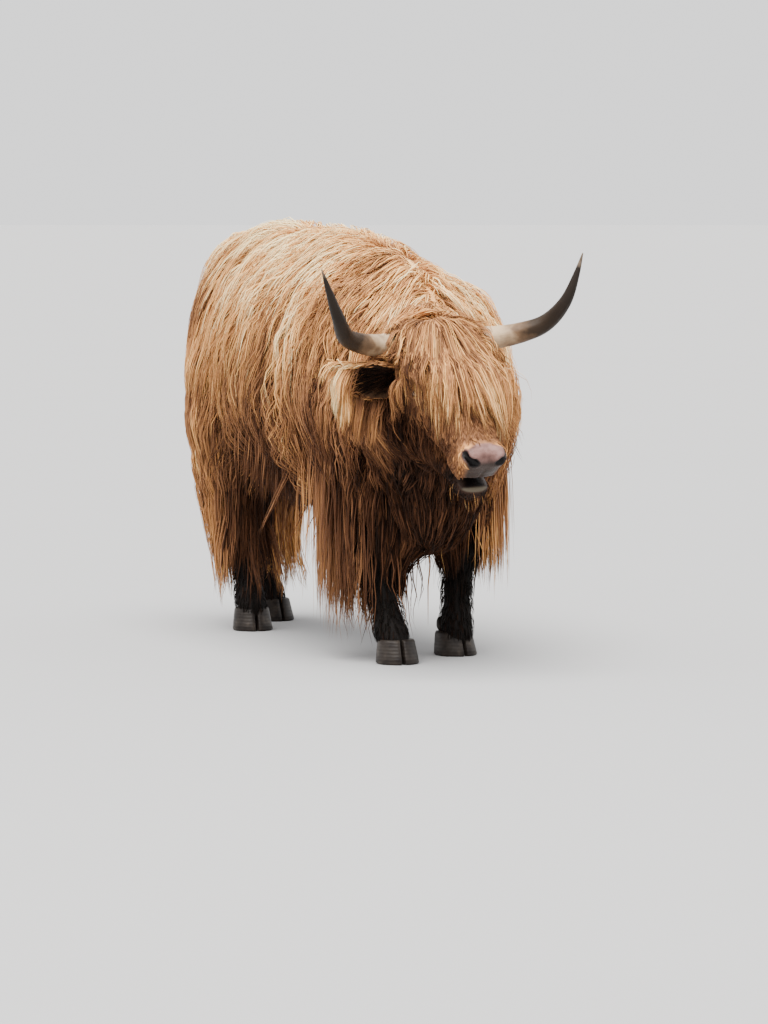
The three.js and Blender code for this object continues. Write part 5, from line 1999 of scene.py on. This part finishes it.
@dataclass
class Hoof:
    """The two claws and two dewclaws of one foot."""

    leg: Leg
    width: float = 0.052
    length: float = 0.118
    inset: float = 0.0065
    spokes: int = 36
    dewclaw: tuple[float, float, float] = (0.013, 0.014, 0.022)

    DEWCLAW_PLACE = (0.024, 0.044, 0.084)  # out, back and up from the middle of the foot
    DEWCLAW_TILT = -0.5  # in radians
    DEWCLAW_RINGS, DEWCLAW_SPOKES = 11, 20

    # The height, size and shift back of each level section of a claw
    SECTIONS = ((0.0, 0.93, 0.0), (0.004, 1.0, 0.0), (0.022, 0.955, 0.004), (0.040, 0.905, 0.008),
                (0.056, 0.86, 0.0112), (0.062, 0.84, 0.012), (0.066, 0.78, 0.0125), (0.0665, 0.40, 0.013))

    def _stand(self, points: Array) -> Array:
        """Points of the upright foot turned and moved under the leg."""
        turn = np.array(Euler((0, 0, math.radians(self.leg.turn))).to_matrix())
        return points @ turn.T + np.array([self.leg.x, self.leg.y, 0.0])

    def _claw(self, direction: int) -> tuple[Array, list]:
        """A claw, rounded at toe and heel, flat on the ground and towards its neighbour."""
        angle = circle(self.spokes)
        along, outward = np.sin(angle), np.cos(angle)
        toe = np.where(along > 0, 1 - 0.45 * np.clip(along, 0, 1) ** 3, 1.0)
        outer = np.clip(outward, 0, None) ** 0.7 * toe
        inner = np.clip(outward, None, 0) * 0.12
        rings = []
        for z, size, shift in self.SECTIONS:
            x = self.inset + (outer + inner) * self.width * size
            y = shift - along * self.length * size / 2
            rings.append(np.stack([direction * x, y, np.full(self.spokes, z)], axis=1))
        points = np.concatenate([*rings, rings[0].mean(axis=0)[None], rings[-1].mean(axis=0)[None]])
        faces = tube_faces(len(rings), self.spokes)
        return self._stand(points), [face[::-1] for face in faces] if direction > 0 else faces

    def _dewclaw(self, direction: int) -> tuple[Array, list]:
        """A dewclaw, a blunt cone that points down and back."""
        polar = np.linspace(0, np.pi, self.DEWCLAW_RINGS + 2)[1:-1, None]
        angle = circle(self.DEWCLAW_SPOKES)
        ball = np.stack(np.broadcast_arrays(np.sin(polar) * np.cos(angle), np.sin(polar) * np.sin(angle),
                                            np.cos(polar)), axis=2).reshape(-1, 3)
        ball = np.concatenate([ball, [[0, 0, 1], [0, 0, -1]]])
        ball[:, :2] *= (1 - 0.22 * ball[:, 2:])
        x, y, z = self.DEWCLAW_PLACE
        turn = np.array(Euler((self.DEWCLAW_TILT, 0, 0)).to_matrix())
        bent = self.leg.middle(z) - np.array([self.leg.x, self.leg.y, z])
        points = (ball * self.dewclaw) @ turn.T + (np.array([direction * x, y, z]) + bent * (0, 1, 0))
        faces = tube_faces(self.DEWCLAW_RINGS, self.DEWCLAW_SPOKES)
        return self._stand(points), [(face[0], *face[:0:-1]) for face in faces]

    def build(self) -> None:
        """Makes the four pieces of the foot."""
        for which, direction in (("outer", self.leg.side), ("inner", -self.leg.side)):
            for kind, shape in (("claw", self._claw), ("dewclaw", self._dewclaw)):
                points, faces = shape(direction)
                piece = from_faces(f"{self.leg.name}_{kind}_fine_{which}", points, faces)
                finished(piece, HoofFinish(), "hoof", f"{self.leg.name}_{kind}_{which}")


# ---- Studio ----


@dataclass
class Studio:
    """Floor, light and camera."""

    azimuth: float = -24.0
    elevation: float = 3.0
    distance: float = 12.0
    lens: float = 149.84
    target: tuple[float, float, float] = (0.0, -0.2, 0.6)
    aim_down: float = 0.214
    aim_right: float = 0.0028
    floor: float = 400.0
    floor_corners: int = 96
    sky: tuple[float, float, float, float] = (0.98, 0.98, 0.985, 1)
    sky_strength: float = 1.5
    sun_strength: float = 8.6
    sun_breadth: float = 0.9
    sun_turn: tuple[float, float, float] = (15, -7, -14)
    sun_colour: tuple[float, float, float] = (1.0, 0.98, 0.95)

    def build(self) -> None:
        """Lays the floor, hangs the lights and sets the camera."""
        angle = circle(self.floor_corners)
        rim = np.stack([self.floor * np.cos(angle), self.floor * np.sin(angle), np.zeros_like(angle)], axis=1)
        floor = from_faces("floor", rim, [range(self.floor_corners)])
        floor.data.materials.append(FloorFinish().material())
        world = bpy.data.worlds.new("studio")
        bpy.context.scene.world = world
        world.use_nodes = True
        back = world.node_tree.nodes["Background"]
        back.inputs["Color"].default_value = self.sky
        back.inputs["Strength"].default_value = self.sky_strength
        sun = bpy.data.lights.new("sky", "SUN")
        sun.energy, sun.angle, sun.color = self.sun_strength, self.sun_breadth, self.sun_colour
        lamp = bpy.data.objects.new("sky", sun)
        lamp.rotation_euler = [math.radians(turn) for turn in self.sun_turn]
        bpy.context.scene.collection.objects.link(lamp)
        self._lamp("key", (-3.0, -5.5, 5.0), 150, 3.5, (1.0, 0.97, 0.94))
        self._camera()

    def _lamp(self, name: str, place: Sequence[float], power: float, size: float, colour: tuple) -> None:
        """Hangs a soft square lamp that faces the cow."""
        data = bpy.data.lights.new(name, "AREA")
        data.energy, data.size, data.color = power, size, colour
        lamp = bpy.data.objects.new(name, data)
        place = Vector(place) + Vector(ORIGIN)
        lamp.location = place
        lamp.rotation_euler = (Vector(ORIGIN) + Vector((0, 0, 0.7)) - place).to_track_quat("-Z", "Y").to_euler()
        bpy.context.scene.collection.objects.link(lamp)

    def _camera(self) -> None:
        """Sets the camera."""
        azimuth, elevation = math.radians(self.azimuth), math.radians(self.elevation)
        back = Vector((math.sin(azimuth) * math.cos(elevation), -math.cos(azimuth) * math.cos(elevation),
                       math.sin(elevation)))
        right = Vector((math.cos(azimuth), math.sin(azimuth), 0))
        target = Vector(self.target) + Vector(ORIGIN)
        place = target + back * self.distance
        aim = target - back.cross(right) * self.aim_down + right * self.aim_right
        data = bpy.data.cameras.new("camera")
        data.sensor_width, data.lens, data.clip_end = 36.0, self.lens, 1200.0
        camera = bpy.data.objects.new("camera", data)
        camera.location = place
        camera.rotation_euler = (aim - place).to_track_quat("-Z", "Y").to_euler()
        bpy.context.scene.collection.objects.link(camera)
        bpy.context.scene.camera = camera


def main() -> None:
    """Builds the cow and the studio in order."""
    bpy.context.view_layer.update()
    rng = np.random.default_rng(SEED)
    Studio().build()
    anatomy = Anatomy()
    skin = Skin(anatomy)
    skin.dress()
    for side in SIDES:
        Horn(side).build()
    for side, lid in zip(SIDES, anatomy.lids):
        Eye(side).build(lid)
    for leg in LEGS:
        Hoof(leg).build()
    for coat in COATS:
        coat().build(skin, rng)


if __name__ == "__main__":
    main()
